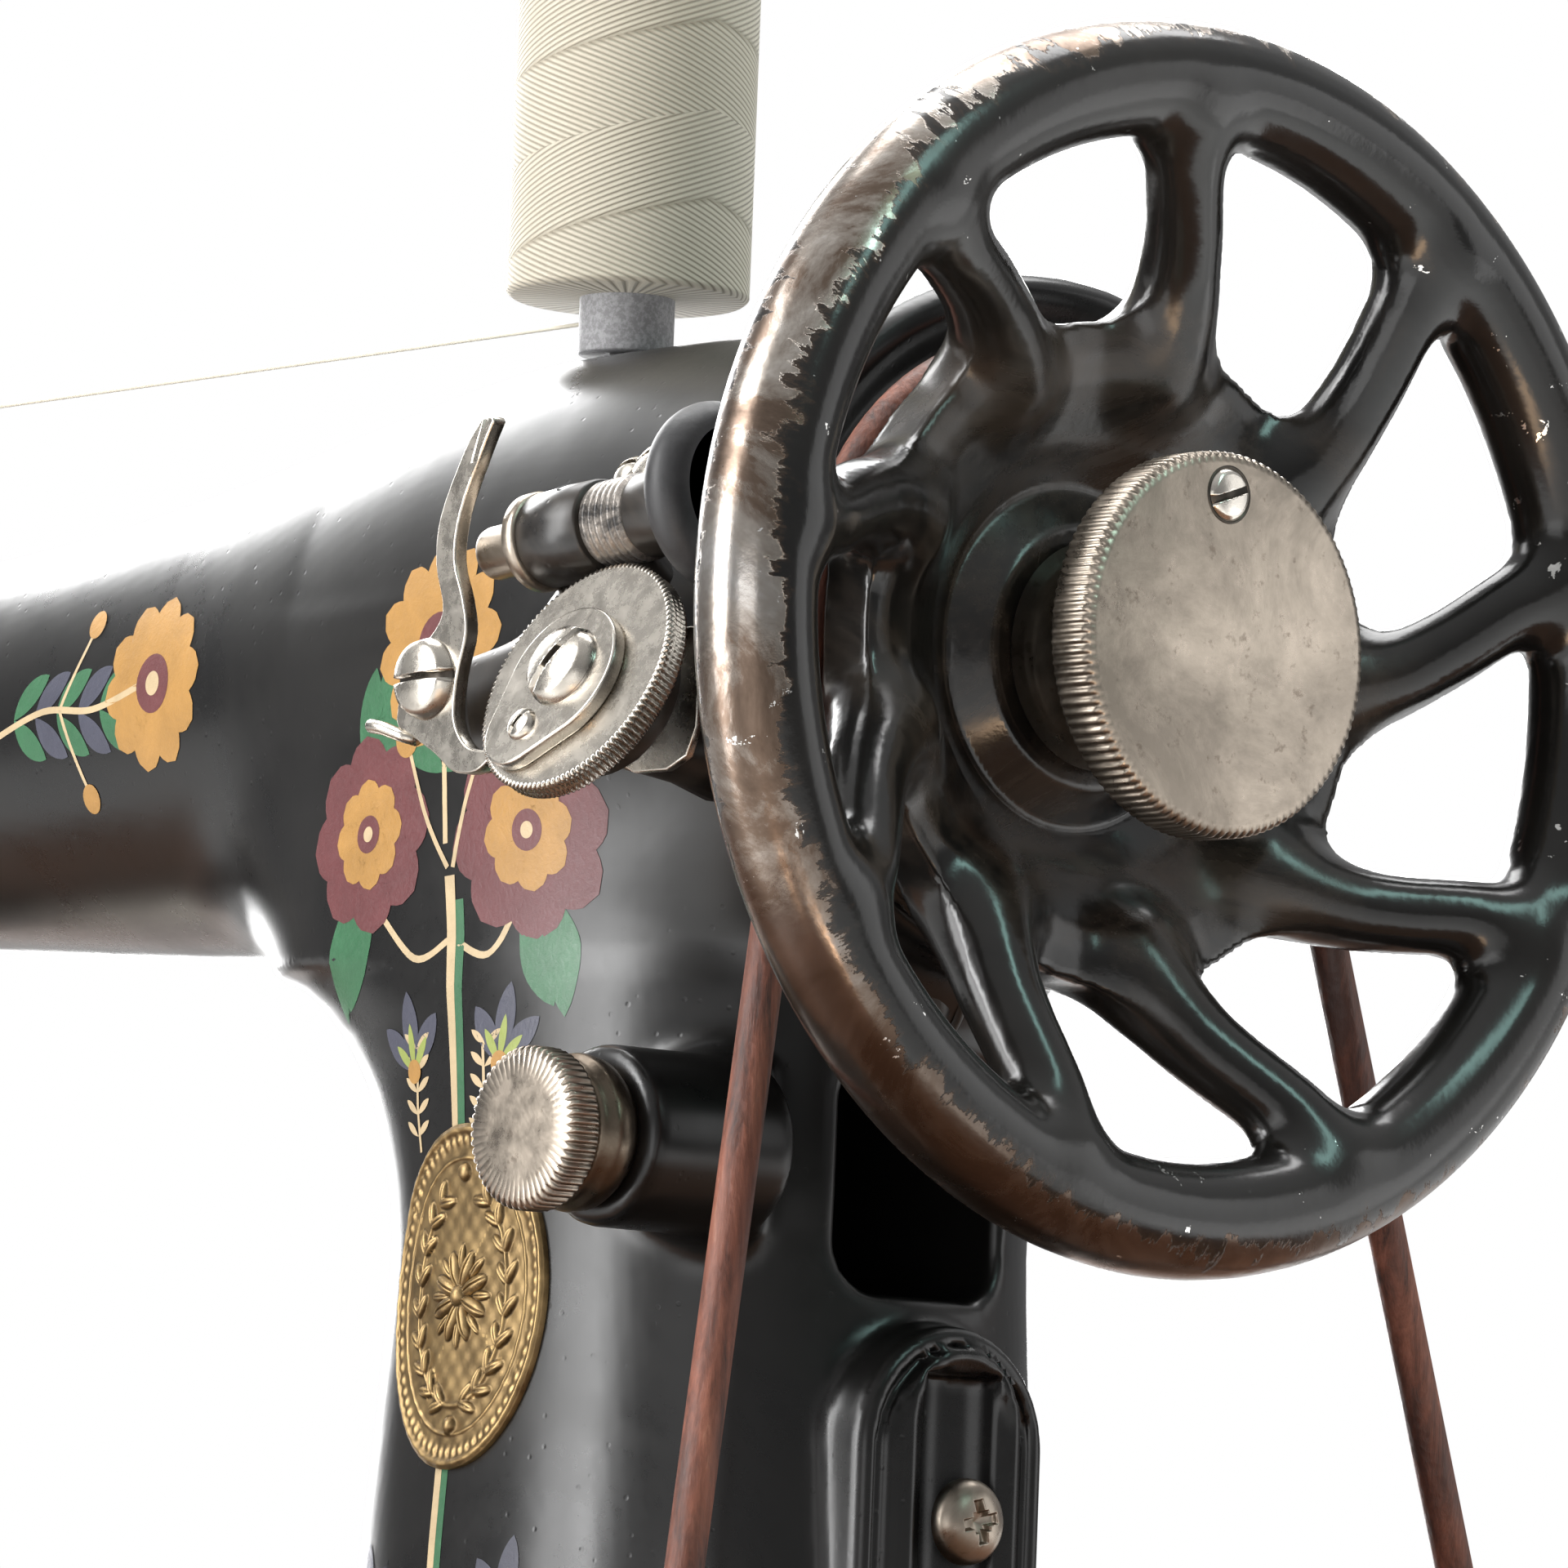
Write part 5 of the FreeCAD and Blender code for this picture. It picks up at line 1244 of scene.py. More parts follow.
def make_ornament(tree):
    paints = {
        "ochre": paint_material("paint_ochre", (0.40, 0.215, 0.060)),
        "cream": paint_material("paint_cream", (0.52, 0.40, 0.24)),
        "green": paint_material("paint_green", (0.038, 0.135, 0.062)),
        "maroon": paint_material("paint_maroon", (0.13, 0.040, 0.042)),
        "slate": paint_material("paint_slate", (0.062, 0.064, 0.090)),
        "lime": paint_material("paint_lime", (0.28, 0.33, 0.085)),
    }
    art = Ornament(tree)
    # main stem of the pillar, cream beside green
    art.stem([(-92.6, -26), (-92.0, -34), (-90.6, -46), (-89.6, -58)], 1.9, "cream", 2, 1.1)
    art.stem([(-90.9, -29), (-90.2, -37), (-89.2, -47), (-88.4, -58)], 1.7, "green", 1, 1.5)
    art.stem([(-88.6, -98), (-88.4, -112), (-88.2, -126), (-88, -158)], 1.3, "cream", 2)
    art.stem([(-87.4, -98), (-87.2, -112), (-87.0, -126), (-86.8, -158)], 1.4, "green", 1)
    # crown daisy between two leaves
    art.stem([(-93.6, -22), (-94.6, -12), (-95.5, 0)], 0.9, "cream", 1)
    for side in (-1, 1):
        art.petal(-94.6, -13, 90 - side * 62, 17, 5.6, "green", 1, 0.5, bend=side * 24)
    blossom(art, -95.5, 2.5, 13.0, 12, "ochre", "maroon")
    # berries on stems
    for route, size in (([(-93, -25), (-98, -18), (-102.5, -8.5)], 2.3),
                        ([(-92, -25), (-90.0, -17), (-86.8, -9.5)], 2.3)):
        art.stem(route, 0.75, "cream", 3, 0.6)
        x, z = route[-1]
        art.disc(x, z, size, "ochre", 4)
        art.disc(x - 0.2, z + 0.35 * size, size * 0.5, "cream", 5)
    # one round flower on each side, with leaves curling up and down
    for side, cx, cz, reach in ((-1, -109.6, -20, 12.6), (1, -78.6, -21, 13.6)):
        art.stem([(-92.0 + side * 0.6, -34), (-92 + side * 7, -36), (cx - side * 2, cz - 9)],
                 0.9, "cream", 1)
        for tilt, long, bend in ((118, 17, -30), (78, 15, 26), (-48, 19, -34), (-86, 17, 30)):
            angle = tilt if side > 0 else 180 - tilt
            start = 6 if tilt > 0 else -6
            art.petal(cx, cz + start, angle, long, 5.8, "green", 1, 0.5, bend=side * bend)
        blossom(art, cx, cz, reach, 8, "maroon", "green")
        blossom(art, cx, cz, reach * 0.56, 8, "ochre", "maroon", 4)
    # three-leaved sprigs and leaf rows beside the stem
    for bx, bz, lean in ((-98.8, -50, 8), (-81.5, -49.5, -8), (-103.6, -118, 8),
                         (-74.6, -117, -8), (-103.6, -150, 8), (-74.6, -149, -8)):
        for tilt, long in ((0, 10), (42, 8.5), (-42, 8.5)):
            art.petal(bx, bz, 90 + lean + tilt, long, 3.4, "slate", 2, 0.6)
            art.petal(bx, bz, 90 + lean + tilt, long * 0.6, 1.3, "lime", 3, 0.6)
        art.disc(bx, bz, 1.5, "ochre", 4)
    for side in (-1, 1):
        foot_x = -92.0 + side * 6.2 + (1.6 if side > 0 else 0)
        art.stem([(foot_x - side * 0.8, -60), (foot_x, -54), (foot_x - side * 0.5, -47)], 0.5,
                 "cream", 2)
        for index in range(5):
            z = -58 + index * 2.7
            art.petal(foot_x, z, 35, 3.3, 1.0, "cream", 2, 0.6)
            art.petal(foot_x, z, 145, 3.3, 1.0, "cream", 2, 0.6)
    # leafy branch with one daisy along the arm
    art.stem([(-204, -1.5), (-192, 1.5), (-180, 1.0), (-168.5, 3.4)], 0.9, "cream", 2)
    for index in range(5):
        x = -199 + index * 5.2
        for side in (-1, 1):
            paint = ("green", "slate")[index % 2]
            art.petal(x, 0.8, side * 48, 9.5, 3.4, paint, 1, 0.5, bend=-side * 22)
    for side in (-1, 1):
        art.stem([(-188, 1.4), (-184, side * 7 + 1), (-182, side * 11 + 1)], 0.6, "cream", 2)
        art.disc(-182, side * 11.5 + 1, 1.9, "ochre", 3)
    blossom(art, -165.5, 3.4, 11.5, 10, "ochre", "maroon")
    art.done(paints)


# ---------------------------------------------------------------- bobbin winder
def make_winder_spindle():
    axis = Vector((0.992, 0.061, 0.106)).normalized()
    nose = at(-64.8, -54, 9.6)
    pin = lathe("winder_nose", nose, axis,
                [(0, 0), (0.02, 1.8), (0.25, 2.6), (0.8, 3.1), (1.4, 3.25), (7.6, 3.25),
                 (8.0, 3.6), (8.05, 5.6), (8.3, 6.0), (9.9, 6.05), (10.15, 5.8), (10.15, 0)], 64)
    dress(pin, NICKEL_KNOB, "winder_spindle", "steel", "winder_spindle")
    rings = [(20.6, 4.4), (20.7, 5.1)]
    for index in range(6):
        start = 21.0 + index * 1.05
        rings += [(start, 4.85), (start + 0.18, 5.3), (start + 0.72, 5.3), (start + 0.9, 4.85)]
    rings += [(27.5, 5.0), (27.5, 0)]
    worm = lathe("winder_worm", nose, axis, [(20.6, 0)] + rings, 64)
    dress(worm, worm_material(), "winder_spindle", "steel")
    body = lathe("winder_barrel", nose, axis,
                 [(10.2, 3), (10.2, 5.5), (10.5, 5.75), (15, 5.85), (20.2, 5.8), (20.5, 5.5),
                  (20.5, 3)], 64)
    rear = lathe("winder_barrel_rear", nose, axis,
                 [(27.6, 3), (27.6, 4.9), (28, 5.15), (33, 5.2), (35.3, 5.0), (35.3, 3)], 64)
    for thing in (body, rear):
        dress(thing, ENAMEL_DUSTY, "winder", "japan_enamel")
    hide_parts("winder_frame")
    # The oil hole is a near-black cap on the barrel: painted shade where the hole would be dark.
    hole_at = nose + axis * 15.0 * MM + Vector((0.08, -0.42, 0.9)).normalized() * 5.78 * MM
    hole = lathe("winder_oil_hole", hole_at, Vector((0.08, -0.42, 0.9)),
                 [(-0.4, 0), (-0.4, 0.5), (0.1, 0.85), (0.1, 1.05), (-0.4, 1.1)], 32)
    dress(hole, HOLE_PAINTED_SHADE, "winder", "japan_enamel")

    profile = []
    for step in range(33):
        angle = math.pi * 2 * step / 32
        profile.append((39.6 + 3.1 * math.cos(angle), 8.3 + 3.2 * math.sin(angle)))
    tyre = lathe("winder_tyre_rubber", nose, axis, profile[::-1], 96)
    weld(tyre)
    dress(tyre, RUBBER, "winder_spindle", "rubber_black", "winder_tyre")
    disc = lathe("winder_tyre_disc", nose, axis,
                 [(37.9, 0), (37.9, 5.3), (41.8, 5.3), (41.8, 3), (42.6, 2.6), (42.6, 0)], 64)
    dress(disc, NICKEL, "winder_spindle", "steel")


def make_winder_wheel():
    """The toothed wheel driven by the worm, with its heart cam and two screws."""
    normal = Vector((0, -0.917, 0.40)).normalized()
    centre = at(-39, -61.5, -7.3)
    up = normal.cross(ALONG)
    teeth = 116
    rows = [(-3.4, 12.5, 0), (-3.4, 14.4, 0), (-3.2, 14.9, 1), (-2.6, 15.25, 1),
            (-1.7, 15.1, 1), (-0.8, 15.25, 1), (-0.25, 15.35, 1), (0, 14.9, 0.6), (0, 14.5, 0),
            (0, 0, 0)]
    count = teeth * 6
    rings = []
    for along, radius, tooth in rows:
        ring = []
        for step in range(count):
            angle = 2 * math.pi * step / count + along * 0.012
            wave = 0.5 + 0.5 * math.cos(angle * teeth)
            reach = max(radius - tooth * 0.62 * (1 - wave) ** 1.3, 0.001)
            ring.append(centre + normal * along * MM
                        + (ALONG * math.cos(angle) + up * math.sin(angle)) * reach * MM)
        rings.append(ring)
    points, faces = bridge(rings)
    wheel = outward(mesh_object("winder_wheel_toothed", points, faces))
    dress(wheel, NICKEL, "winder_worm_wheel", "steel", "winder_worm_wheel")
    hub = lathe("winder_wheel_hub", centre, normal, [(-9, 0), (-9, 8.5), (-8.5, 9), (-3.6, 9.2),
                                                      (-3.5, 0)], 64)
    dress(hub, ENAMEL_DUSTY, "winder", "japan_enamel")

    outline = hull_of(circle_outline(9.0, 64, (-0.6, -0.8)) + circle_outline(5.6, 48, (-4.6, -7.2)))
    cam = plate("winder_heart_cam", outline, 1.9, centre + normal * 1.9 * MM, ALONG, up, 0.35)
    dress(cam, NICKEL, "winder_worm_wheel", "steel", "winder_cam")
    slotted_screw("winder_cam_screw", centre + normal * 1.9 * MM, normal, 5.2, 2.6, 60,
                  NICKEL, "winder_worm_wheel", slot=1.2)
    small = centre + (ALONG * -3.6 + up * -7.6) * MM + normal * 1.9 * MM
    slotted_screw("winder_cam_small_screw", small, normal, 2.1, 1.1, 62, NICKEL,
                  "winder_worm_wheel", slot=0.55)


def make_winder_latch():
    """A flat strip: forked tip, bent neck, round foot with the pivot screw and a toe."""
    right_edge = curved([(-57.8, 24.7), (-59.8, 21.3), (-63.4, 14.0), (-64.1, 8.4),
                         (-62.3, 3.7), (-61.4, -0.5), (-62.8, -5.8), (-63.0, -10.9),
                         (-60.8, -14.1), (-57.7, -15.0), (-55.9, -15.0)], 4)
    foot = curved([(-56.4, -16.4), (-58.5, -17.5), (-61.1, -17.6), (-63.6, -16.9),
                   (-67.0, -14.6), (-73.6, -11.3)], 4)
    left_edge = curved([(-74.0, -10.4), (-73.0, -4.6), (-69.2, -1.5), (-66.1, 2.2),
                        (-67.7, 8.0), (-67.2, 13.9), (-63.2, 21.5), (-60.6, 24.6)], 4)
    fork = [(-60.1, 25.1), (-59.7, 25.0), (-61.6, 20.0), (-61.0, 20.0), (-59.0, 25.2),
            (-58.2, 25.2)]
    edge = right_edge + foot + left_edge + fork
    base = at(0, -60, 0)
    strip = plate("winder_latch_strip", edge, 2.0, base, ALONG, UP, 0.28)
    dress(strip, NICKEL, "winder_latch", "steel", "winder_latch")
    slotted_screw("winder_pivot_screw", at(-68.3, -60, -5.8), FRONT, 5.0, 2.6, 3,
                  NICKEL, "winder", "winder_screws", slot=0.85)
    tab = sweep("winder_latch_pin", [at(-71.0, -59.2, -12.9), at(-73.6, -59.6, -12.2),
                                     at(-76.2, -60.0, -11.3), at(-78.2, -60.2, -10.9),
                                     at(-78.9, -60.3, -10.8)],
                [1.1, 1.1, 1.15, 1.25, 0.6], 18, flatten=0.7)
    dress(tab, NICKEL, "winder_latch", "steel")


def make_winder_frame():
    route = smooth_rows([at(-70, -50, -9), at(-60, -49, -6), at(-50, -49, 2),
                         at(-42, -50, 10)], 8)
    post = sweep("winder_web", [Vector(point) for point in route], 7.5, 24, flatten=0.42,
                 across=Vector((0.6, 0, -0.8)))
    dress(post, ENAMEL_DUSTY, "winder", "japan_enamel")
    arm = sweep("winder_hinge_arm", [at(-55, -49, 0), at(-52, -49, -8), at(-49, -49, -14)],
                [6, 5.4, 4.6], 20, flatten=0.6)
    dress(arm, ENAMEL_DUSTY, "winder", "japan_enamel")
    lug = sweep("winder_bracket_lug", [at(-47, -32, -12), at(-47, -38, -12), at(-47, -43, -12),
                                       at(-47, -45.4, -12), at(-47, -46, -12)],
                [7, 5.4, 4.8, 4.6, 3.8], 24)
    dress(lug, ENAMEL_DUSTY, "stand", "japan_enamel", "winder_bracket")
    sheet = [(-8, 8), (8, 8), (8, -4), (6.5, -7.5), (3, -9), (-3, -9), (-6.5, -7.5), (-8, -4)]
    tab = plate("winder_spring_tab", sheet, 1.2, at(-43, -46, -8), ALONG, UP, 0.3)
    dress(tab, NICKEL, "winder", "steel")
    for name, where, radius in (("a", (-51, -39.5, 21.3), 3.6), ("b", (-55.6, -39.5, 20.2), 2.4)):
        slotted_screw("winder_mount_screw_" + name, at(*where), Vector((-0.1, -0.75, 0.65)),
                      radius, 2.2, 30, NICKEL, "winder")


def hull_of(points):
    """The convex outline round some points."""
    points = sorted(set(points))
    chains = []
    for ordered in (points, points[::-1]):
        chain = []
        for point in ordered:
            while len(chain) > 1:
                (ax, ay), (bx, by) = chain[-2], chain[-1]
                if (bx - ax) * (point[1] - ay) - (by - ay) * (point[0] - ax) > 0:
                    break
                chain.pop()
            chain.append(point)
        chains.append(chain[:-1])
    return chains[0] + chains[1]


def worm_material():
    """The worm: enamel rubbed off its crests."""
    n = Nodes("worm_worn")
    rub = n.steps(n.noise(240, 6, 0.75, 0.3, stretch=(0.4, 1, 1)), (0.45, 0.0), (0.62, 1.0))
    tint = n.mix(rub, (0.014, 0.012, 0.011), (0.33, 0.30, 0.27))
    return n.set(colour=tint, rough=0.36, metal=n.math("MULTIPLY", rub, 0.9),
                 normal=n.bump(rub, 0.3, 0.0002))


# ---------------------------------------------------------------- stand and small turned parts
def bars_field(field, across, up, lines, half, blend):
    """Flat bars along lines in a plane, joined with fillets: distance in that plane."""
    flat = None
    for line in lines:
        bar = None
        for (ay, az), (by, bz) in zip(line, line[1:]):
            dy, dz = by - ay, bz - az
            share = np.clip(((across - ay) * dy + (up - az) * dz) / (dy * dy + dz * dz), 0, 1)
            gap = np.sqrt((across - ay - share * dy) ** 2 + (up - az - share * dz) ** 2)
            bar = gap if bar is None else np.minimum(bar, gap)
        bar = bar - half
        flat = bar if flat is None else smooth_low(flat, bar, blend)
    return flat


def make_leg(node):
    middle_x = middle(node).x / MM
    step = 1.8
    field = Field((middle_x - 20, -214, 6), (middle_x + 20, 214, 744), step, Vector((0, 0, 0)))
    y, z = field.y[0], field.z[0]
    lines = [
        [(-168, 728.5), (168, 728.5)],
        curved([(-150, 728), (-112, 560), (-70, 440), (-78, 330), (-130, 190), (-172, 95),
                (-192, 26)]),
        curved([(150, 728), (128, 560), (96, 440), (100, 330), (142, 190), (178, 95),
                (192, 26)]),
        [(-172, 95), (178, 95)], [(-70, 440), (52.5, 400.6)], [(52.5, 400.6), (96, 440)],
        curved([(-112, 560), (8, 640), (128, 560)], 6),
        curved([(-78, 330), (8, 250), (100, 330)], 6),
        [(8, 587), (8, 640)], [(8, 503), (8, 418)], [(8, 218), (8, 250)], [(8, 126), (8, 95)],
    ]
    flat = bars_field(field, y, z, lines, 8.8, 14)
    for cy, cz, radius in ((8, 545, 42), (8, 172, 46)):
        hoop = np.abs(np.hypot(y - cy, z - cz) - radius) - 8.8
        flat = smooth_low(flat, hoop, 10)
    for cy, cz, radius in ((52.5, 400.6, 21.5), (-40, 95, 15.8)):
        flat = smooth_low(flat, np.hypot(y - cy, z - cz) - radius, 8)
    solid = round_up(flat[None], np.abs(field.x - middle_x) - 6.9, 3.2)
    rib = round_up(flat[None] + 5.6, np.abs(field.x - middle_x) - 9.6, 1.6)
    field.value = np.minimum(smooth_low(solid, rib, 2.0), 50)
    field.value = np.maximum(field.value, np.abs(field.x - middle_x) - 9.3)
    for cy in (-192, 192):
        field.add(disc_field(field, (middle_x, cy, 20), 2, 15, 6.5, 2), 5)
    field.value = np.maximum(field.value, field.z - 737.4)
    leg = field.mesh(node + "_cast")
    dress(leg, IRON, "stand", "cast_black", node)


def make_brace():
    step = 1.8
    field = Field((-272, 104, 104), (272, 172, 694), step, Vector((0, 0, 0)))
    x, z = field.x[:, 0], field.z[:, 0]
    lines = [curved([(-260, 670), (-130, 541), (-44, 444)], 4),
             curved([(44, 444), (130, 541), (260, 670)], 4),
             curved([(-260, 128), (-130, 263), (-44, 356)], 4),
             curved([(44, 356), (130, 263), (260, 128)], 4)]
    flat = bars_field(field, x, z, lines, 7.8, 10)
    hoop = np.abs(np.hypot(x, z - 400) - 62) - 7.8
    flat = smooth_low(flat, hoop, 12)
    inner = np.abs(np.hypot(x, z - 400) - 30) - 4.5
    flat = np.minimum(flat, inner)
    for turn in range(8):
        angle = math.pi * turn / 4
        spoke = bars_field(field, x, z, [[(30 * math.cos(angle), 400 + 30 * math.sin(angle)),
                                          (60 * math.cos(angle), 400 + 60 * math.sin(angle))]],
                           3.6, 1)
        flat = smooth_low(flat, spoke, 5)
    field.value = round_up(flat[:, None], np.abs(field.y - 113) - 4.9, 2.6)
    for sign in (-1, 1):
        for low_z, reach in ((650, 44), (108, 60)):
            pad = round_box(field, (sign * 264, 108 + reach / 2, low_z + 20),
                            (3.8, reach / 2, 20), 2.5)
            field.add(pad, 5)
    brace = field.mesh("rear_brace_cast")
    dress(brace, IRON, "stand", "cast_black", "rear_brace")


def split_solids(node):
    """Boxes round the separate solids of a node: list of (low, high)."""
    thing = frame["nodes"][node]
    matrix = thing.matrix_world
    work = bmesh.new()
    work.from_mesh(thing.data)
    bmesh.ops.remove_doubles(work, verts=work.verts, dist=WELD_GAP)
    boxes = []
    seen = set()
    for start in work.verts:
        if start.index in seen:
            continue
        stack, island = [start], []
        seen.add(start.index)
        while stack:
            vertex = stack.pop()
            island.append(matrix @ vertex.co)
            for edge in vertex.link_edges:
                other = edge.other_vert(vertex)
                if other.index not in seen:
                    seen.add(other.index)
                    stack.append(other)
        boxes.append((Vector([min(p[k] for p in island) for k in range(3)]),
                      Vector([max(p[k] for p in island) for k in range(3)])))
    work.free()
    return sorted(boxes, key=lambda pair: tuple(pair[0]))


def make_glides():
    for index, (bottom, top) in enumerate(split_solids("foot_glides")):
        centre = Vector(((bottom.x + top.x) / 2, (bottom.y + top.y) / 2, 0))
        radius = (top.x - bottom.x) / 2 / MM
        glide = lathe("foot_glide_%d" % index, centre, UP,
                      [(0, 0), (0, radius - 3), (1.2, radius - 1), (3, radius), (8.5, radius),
                       (10.5, radius - 0.8), (12, radius - 3), (12.4, radius - 4.5),
                       (13.9, radius - 5), (13.9, 0)], 64)
        dress(glide, IRON, "stand", "cast_black", "foot_glides")


def make_bolts():
    for index, (bottom, top) in enumerate(split_solids("stand_bolts")):
        centre = Vector(((bottom.x + top.x) / 2, (bottom.y + top.y) / 2, bottom.z))
        radius = (top.x - bottom.x) / 2 / MM
        hexagon = lathe("stand_bolt_%d" % index, centre, UP,
                        [(0, 0), (0, radius * 0.80), (0.5, radius * 0.90), (1.0, radius * 0.99),
                         (4.0, radius * 0.99), (4.9, radius * 0.95), (4.9, 0)], 6)
        hexagon.data.polygons.foreach_set("use_smooth", [False] * len(hexagon.data.polygons))
        dress(hexagon, DARK_STEEL_AND_GAP_SHADE, "stand", "steel", "stand_bolts")


def make_rods():
    """Plain round rods with a shallow groove turned near each end."""
    for node, axis, material, body, slot in (
            ("treadle_axle", 0, STEEL, "stand", "steel"),
            ("needle_bar", 2, NICKEL_BRIGHT, "needle_bar", "nickel"),
            ("presser_bar", 2, NICKEL_BRIGHT, "presser_bar", "nickel"),
            ("spool_pin", 2, STEEL, "stand", "steel"),
            ("lower_shaft", 0, STEEL, "shuttle", "steel")):
        start, end = low(node), high(node)
        length = (end[axis] - start[axis]) / MM
        radius = (end[1] - start[1]) / 2 / MM
        centre = (start + end) / 2
        centre[axis] = start[axis]
        way = Vector((0, 0, 0))
        way[axis] = 1
        profile = [(0, 0), (0, radius - 0.7), (0.5, radius), (3.2, radius),
                   (3.4, radius - 0.25), (4.2, radius - 0.25), (4.4, radius),
                   (length / 2, radius - 0.02), (length - 4.4, radius),
                   (length - 4.2, radius - 0.25), (length - 3.4, radius - 0.25),
                   (length - 3.2, radius), (length - 0.6, radius), (length, radius - 0.7),
                   (length, 0)]
        rod = lathe(node + "_turned", centre, way, profile, 48)
        dress(rod, material, body, slot, node)


def make_thread():
    """The upper thread, with the small waves of its twist."""
    start, end = low("upper_thread"), high("upper_thread")
    start.y = end.y = (start.y + end.y) / 2
    start.z = end.z = (start.z + end.z) / 2
    count = 240
    line = [start.lerp(end, step / (count - 1)) for step in range(count)]
    thread = sweep("upper_thread_twist", line, [0.26 + 0.03 * (step % 2) for step in range(count)],
                   8)
    dress(thread, COTTON, "stand", "cotton", "upper_thread")


def soften(node, width, segments=2):
    """Round the machined edges of a CAD body with modifiers; its mesh stays as it is."""
    thing = frame["nodes"][node]
    weld_it = thing.modifiers.new("weld", "WELD")
    weld_it.merge_threshold = WELD_GAP
    bevel = thing.modifiers.new("bevel", "BEVEL")
    bevel.width = width * MM
    bevel.segments = segments
    bevel.limit_method = "ANGLE"
    bevel.angle_limit = math.radians(38)
    bevel.harden_normals = True


# ---------------------------------------------------------------- camera, light and floor
def make_camera():
    scene = bpy.context.scene
    scene.view_settings.view_transform = "Standard"
    data = bpy.data.cameras.new("camera")
    data.sensor_width = 36
    data.lens = 216.45
    data.clip_end = 50
    data.clip_start = 0.05
    camera = bpy.data.objects.new("camera", data)
    scene.collection.objects.link(camera)
    scene.camera = camera
    azimuth, elevation, roll = (math.radians(value) for value in (48.71, -6.13, 2.19))
    back = Vector((math.sin(azimuth) * math.cos(elevation),
                   -math.cos(azimuth) * math.cos(elevation), math.sin(elevation)))
    right = Vector((-back.y, back.x, 0)).normalized()
    over = back.cross(right)
    tilted = right * math.cos(roll) + over * math.sin(roll)
    over = over * math.cos(roll) - right * math.sin(roll)
    turn = Matrix((tilted, over, back)).transposed().to_4x4()
    camera.matrix_world = Matrix.Translation(at(803.34, -768.03, -137.31)) @ turn


def make_floor():
    half = 20
    corners = [(-half, -half, 0), (half, -half, 0), (half, half, 0), (-half, half, 0)]
    floor_mesh = mesh_object("floor", corners, [(0, 1, 2, 3)], False)
    n = Nodes("floor_pale")
    n.set(colour=n.mix(n.noise(3, 3), (0.80, 0.80, 0.79), (0.84, 0.84, 0.83)), rough=0.8)
    n.shader.inputs["Emission Color"].default_value = (1, 1, 1, 1)
    n.shader.inputs["Emission Strength"].default_value = 0.45
    floor_mesh.data.materials.append(n.material)


def make_world():
    """White behind the object; a soft grey ramp, darker below, in what it mirrors."""
    world = bpy.data.worlds.new("studio")
    bpy.context.scene.world = world
    world.use_nodes = True
    tree = world.node_tree
    background = tree.nodes["Background"]
    place = tree.nodes.new("ShaderNodeTexCoord")
    split = tree.nodes.new("ShaderNodeSeparateXYZ")
    tree.links.new(place.outputs["Generated"], split.inputs[0])
    ramp = tree.nodes.new("ShaderNodeValToRGB")
    ramp.color_ramp.elements[0].position = 0.40
    ramp.color_ramp.elements[0].color = (0.07, 0.07, 0.074, 1)
    ramp.color_ramp.elements[1].position = 0.95
    ramp.color_ramp.elements[1].color = (0.70, 0.70, 0.70, 1)
    half = tree.nodes.new("ShaderNodeMath")
    half.operation = "MULTIPLY_ADD"
    half.inputs[1].default_value = 0.5
    half.inputs[2].default_value = 0.5
    tree.links.new(split.outputs["Z"], half.inputs[0])
    tree.links.new(half.outputs[0], ramp.inputs["Fac"])
    ray = tree.nodes.new("ShaderNodeLightPath")
    mixer = tree.nodes.new("ShaderNodeMix")
    mixer.data_type = "RGBA"
    tree.links.new(ray.outputs["Is Camera Ray"], mixer.inputs["Factor"])
    tree.links.new(ramp.outputs["Color"], mixer.inputs["A"])
    mixer.inputs["B"].default_value = (1, 1, 1, 1)
    tree.links.new(mixer.outputs["Result"], background.inputs["Color"])


def make_lights():
    head = at(-60, 0, -20)
    soft_light("key", head + Vector((-0.75, -1.35, 1.15)), head, (0.9, 0.9), 16)
    soft_light("eye_left", head + Vector((-0.72, -1.5, 0.15)), head, (0.34, 1.7), 15)
    soft_light("left_back", head + Vector((-1.7, 0.85, 0.62)), head, (1.7, 1.6), 105)
    soft_light("top", head + Vector((-0.3, 0.4, 1.5)), head, (1.5, 0.8), 30)
    soft_light("right_back", head + Vector((1.1, 1.3, 0.1)), head, (0.9, 1.5), 5)
    soft_light("rim_edge", head + Vector((-0.35, -1.5, 0.35)), head, (0.20, 1.3), 15)
    soft_light("fill", Vector((1.6, -2.4, 0.7)), Vector((0, 0, 0.4)), (1.6, 1.2), 9)
    warm = soft_light("warm_low", head + Vector((0.9, -0.7, -0.9)), head, (0.9, 0.3), 7)
    warm.data.color = (1.0, 0.62, 0.32)
    cool = soft_light("cool_top", head + Vector((1.3, 0.2, 1.1)), head, (0.25, 0.8), 5)
    cool.data.color = (0.55, 0.95, 0.88)


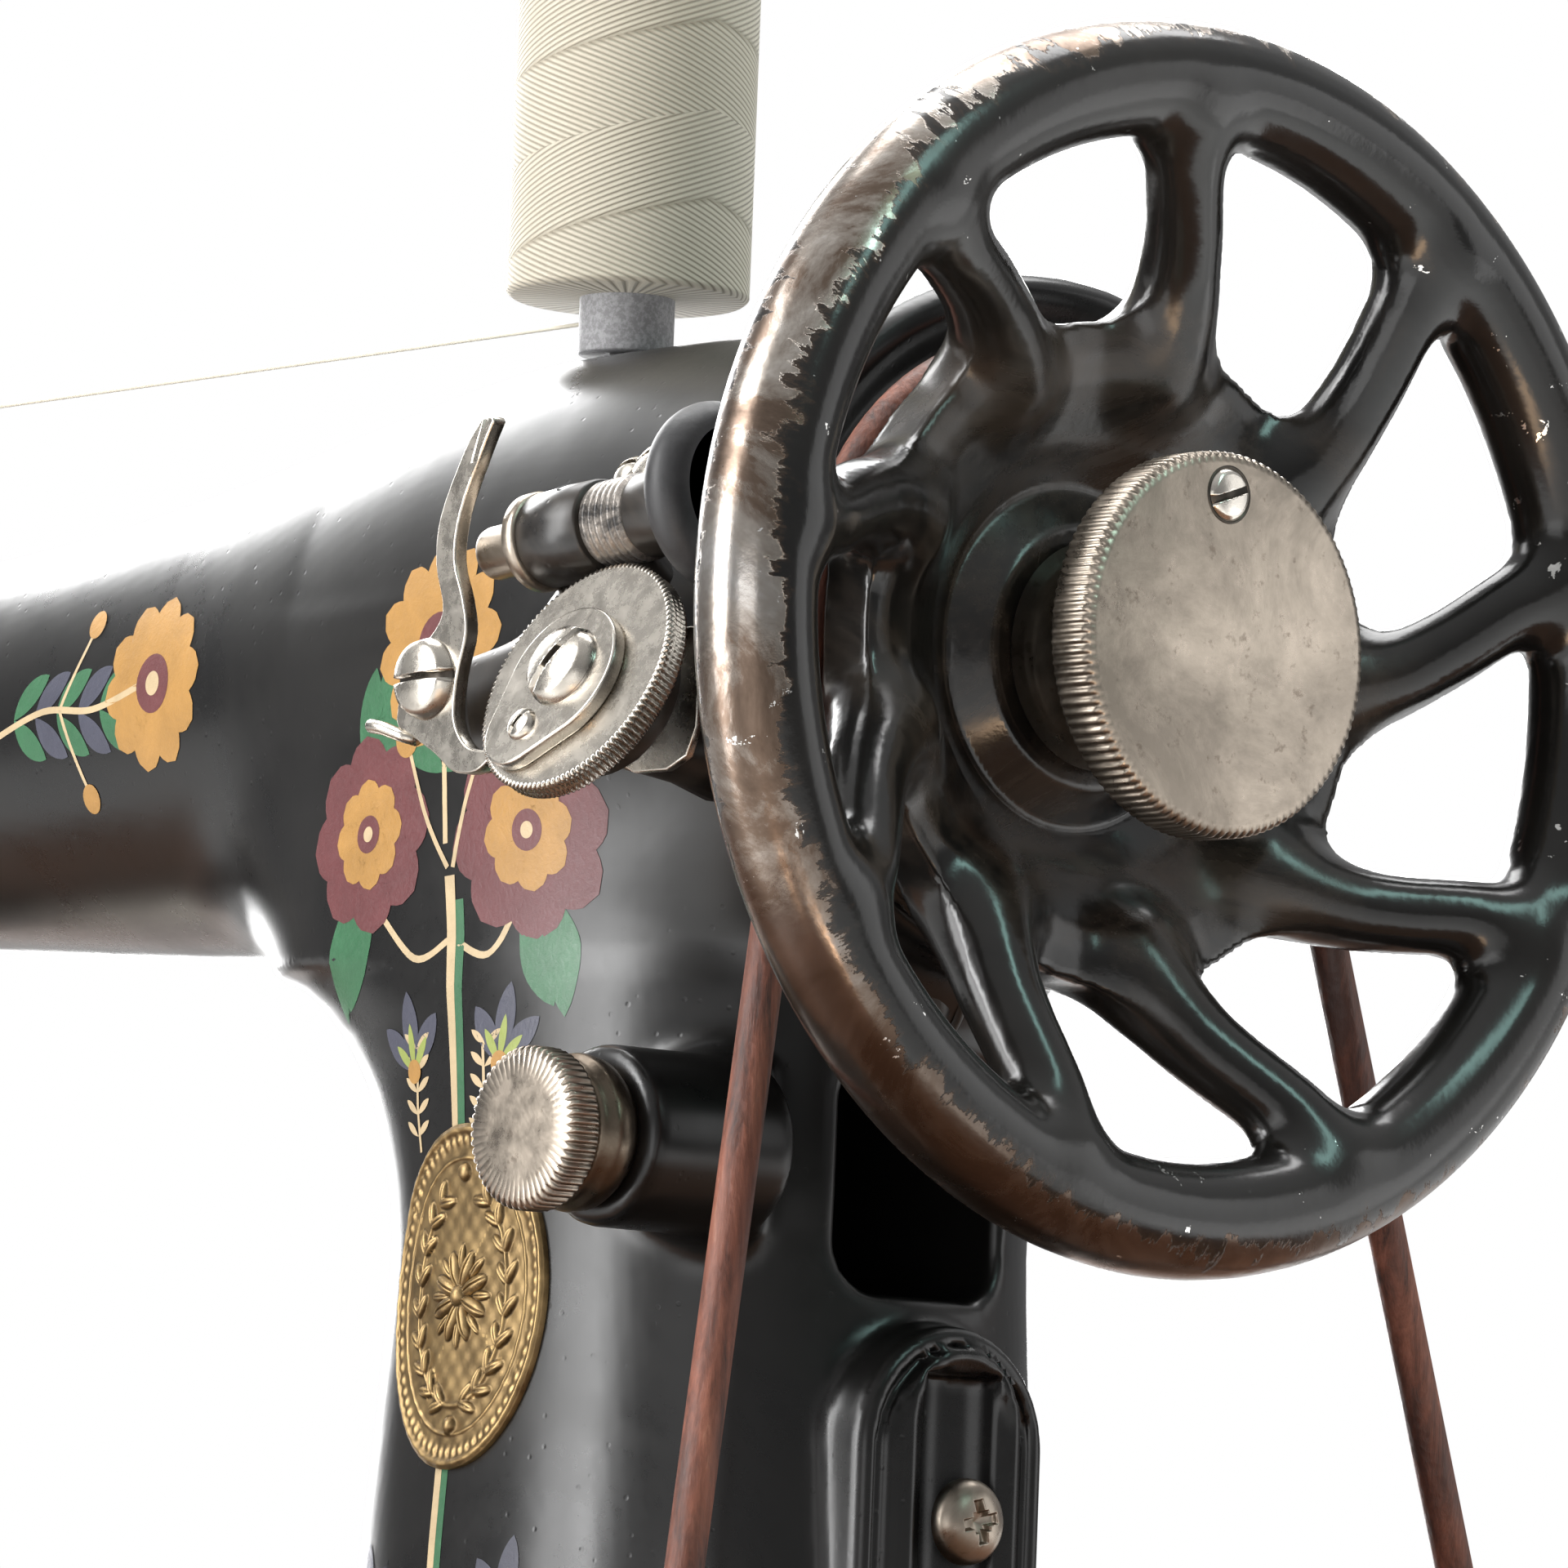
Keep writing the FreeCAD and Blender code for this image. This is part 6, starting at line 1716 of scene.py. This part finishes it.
def soft_light(name, where, target, size, power):
    data = bpy.data.lights.new(name, "AREA")
    data.shape = "RECTANGLE"
    data.size, data.size_y = size
    data.energy = power
    light = bpy.data.objects.new(name, data)
    bpy.context.scene.collection.objects.link(light)
    aim = (target - where).to_track_quat("-Z", "Y")
    light.matrix_world = Matrix.Translation(where) @ aim.to_matrix().to_4x4()
    return light


# ---------------------------------------------------------------- build
make_camera()
make_floor()
make_world()
make_lights()
CASTING = make_arm()
make_cup()
make_wheel()
make_clutch_knob()
make_belt()
make_spool()
make_regulator()
make_head_screws()
make_badge(CASTING)
make_ornament(CASTING)
make_winder_spindle()
make_winder_wheel()
make_winder_latch()
make_winder_frame()
make_leg("left_leg")
make_leg("right_leg")
make_brace()
make_glides()
make_bolts()
make_rods()
make_thread()

NODE_MATERIALS = {
    "cast_black": IRON, "japan_enamel": ENAMEL, "steel": STEEL, "nickel": NICKEL,
    "bronze_dark": BRONZE, "brass": BRASS, "wood": CASE_WOOD, "leather": LEATHER,
    "rubber_black": RUBBER, "cotton": COTTON, "spool_plastic": SPOOL_CORE,
}
for row in frame["record"]["subparts"]:
    thing = frame["nodes"][row["node"]]
    thing.data.materials.clear()
    thing.data.materials.append(NODE_MATERIALS[row["material_slot"]])

for name, material in (("table_top", TABLE_WOOD), ("drawer_left", FACE_WOOD),
                       ("drawer_right", FACE_WOOD), ("pitman_rod", ROD_WOOD),
                       ("bed_casting", ENAMEL), ("face_plate", NICKEL_BRIGHT)):
    frame["nodes"][name].data.materials[0] = material
for name, width in (("table_top", 1.6), ("drawer_case_left", 1.2), ("drawer_case_right", 1.2),
                    ("drawer_left", 1.2), ("drawer_right", 1.2), ("treadle_plate", 1.2),
                    ("band_wheel", 1.0), ("bed_casting", 0.9), ("face_plate", 0.9),
                    ("dress_guard", 1.0), ("presser_foot", 0.4), ("presser_lifter", 0.8),
                    ("take_up_lever", 0.4), ("rear_cover", 0.4), ("tension_discs", 0.3),
                    ("needle_plate", 0.3), ("slide_plate", 0.3)):
    soften(name, width)
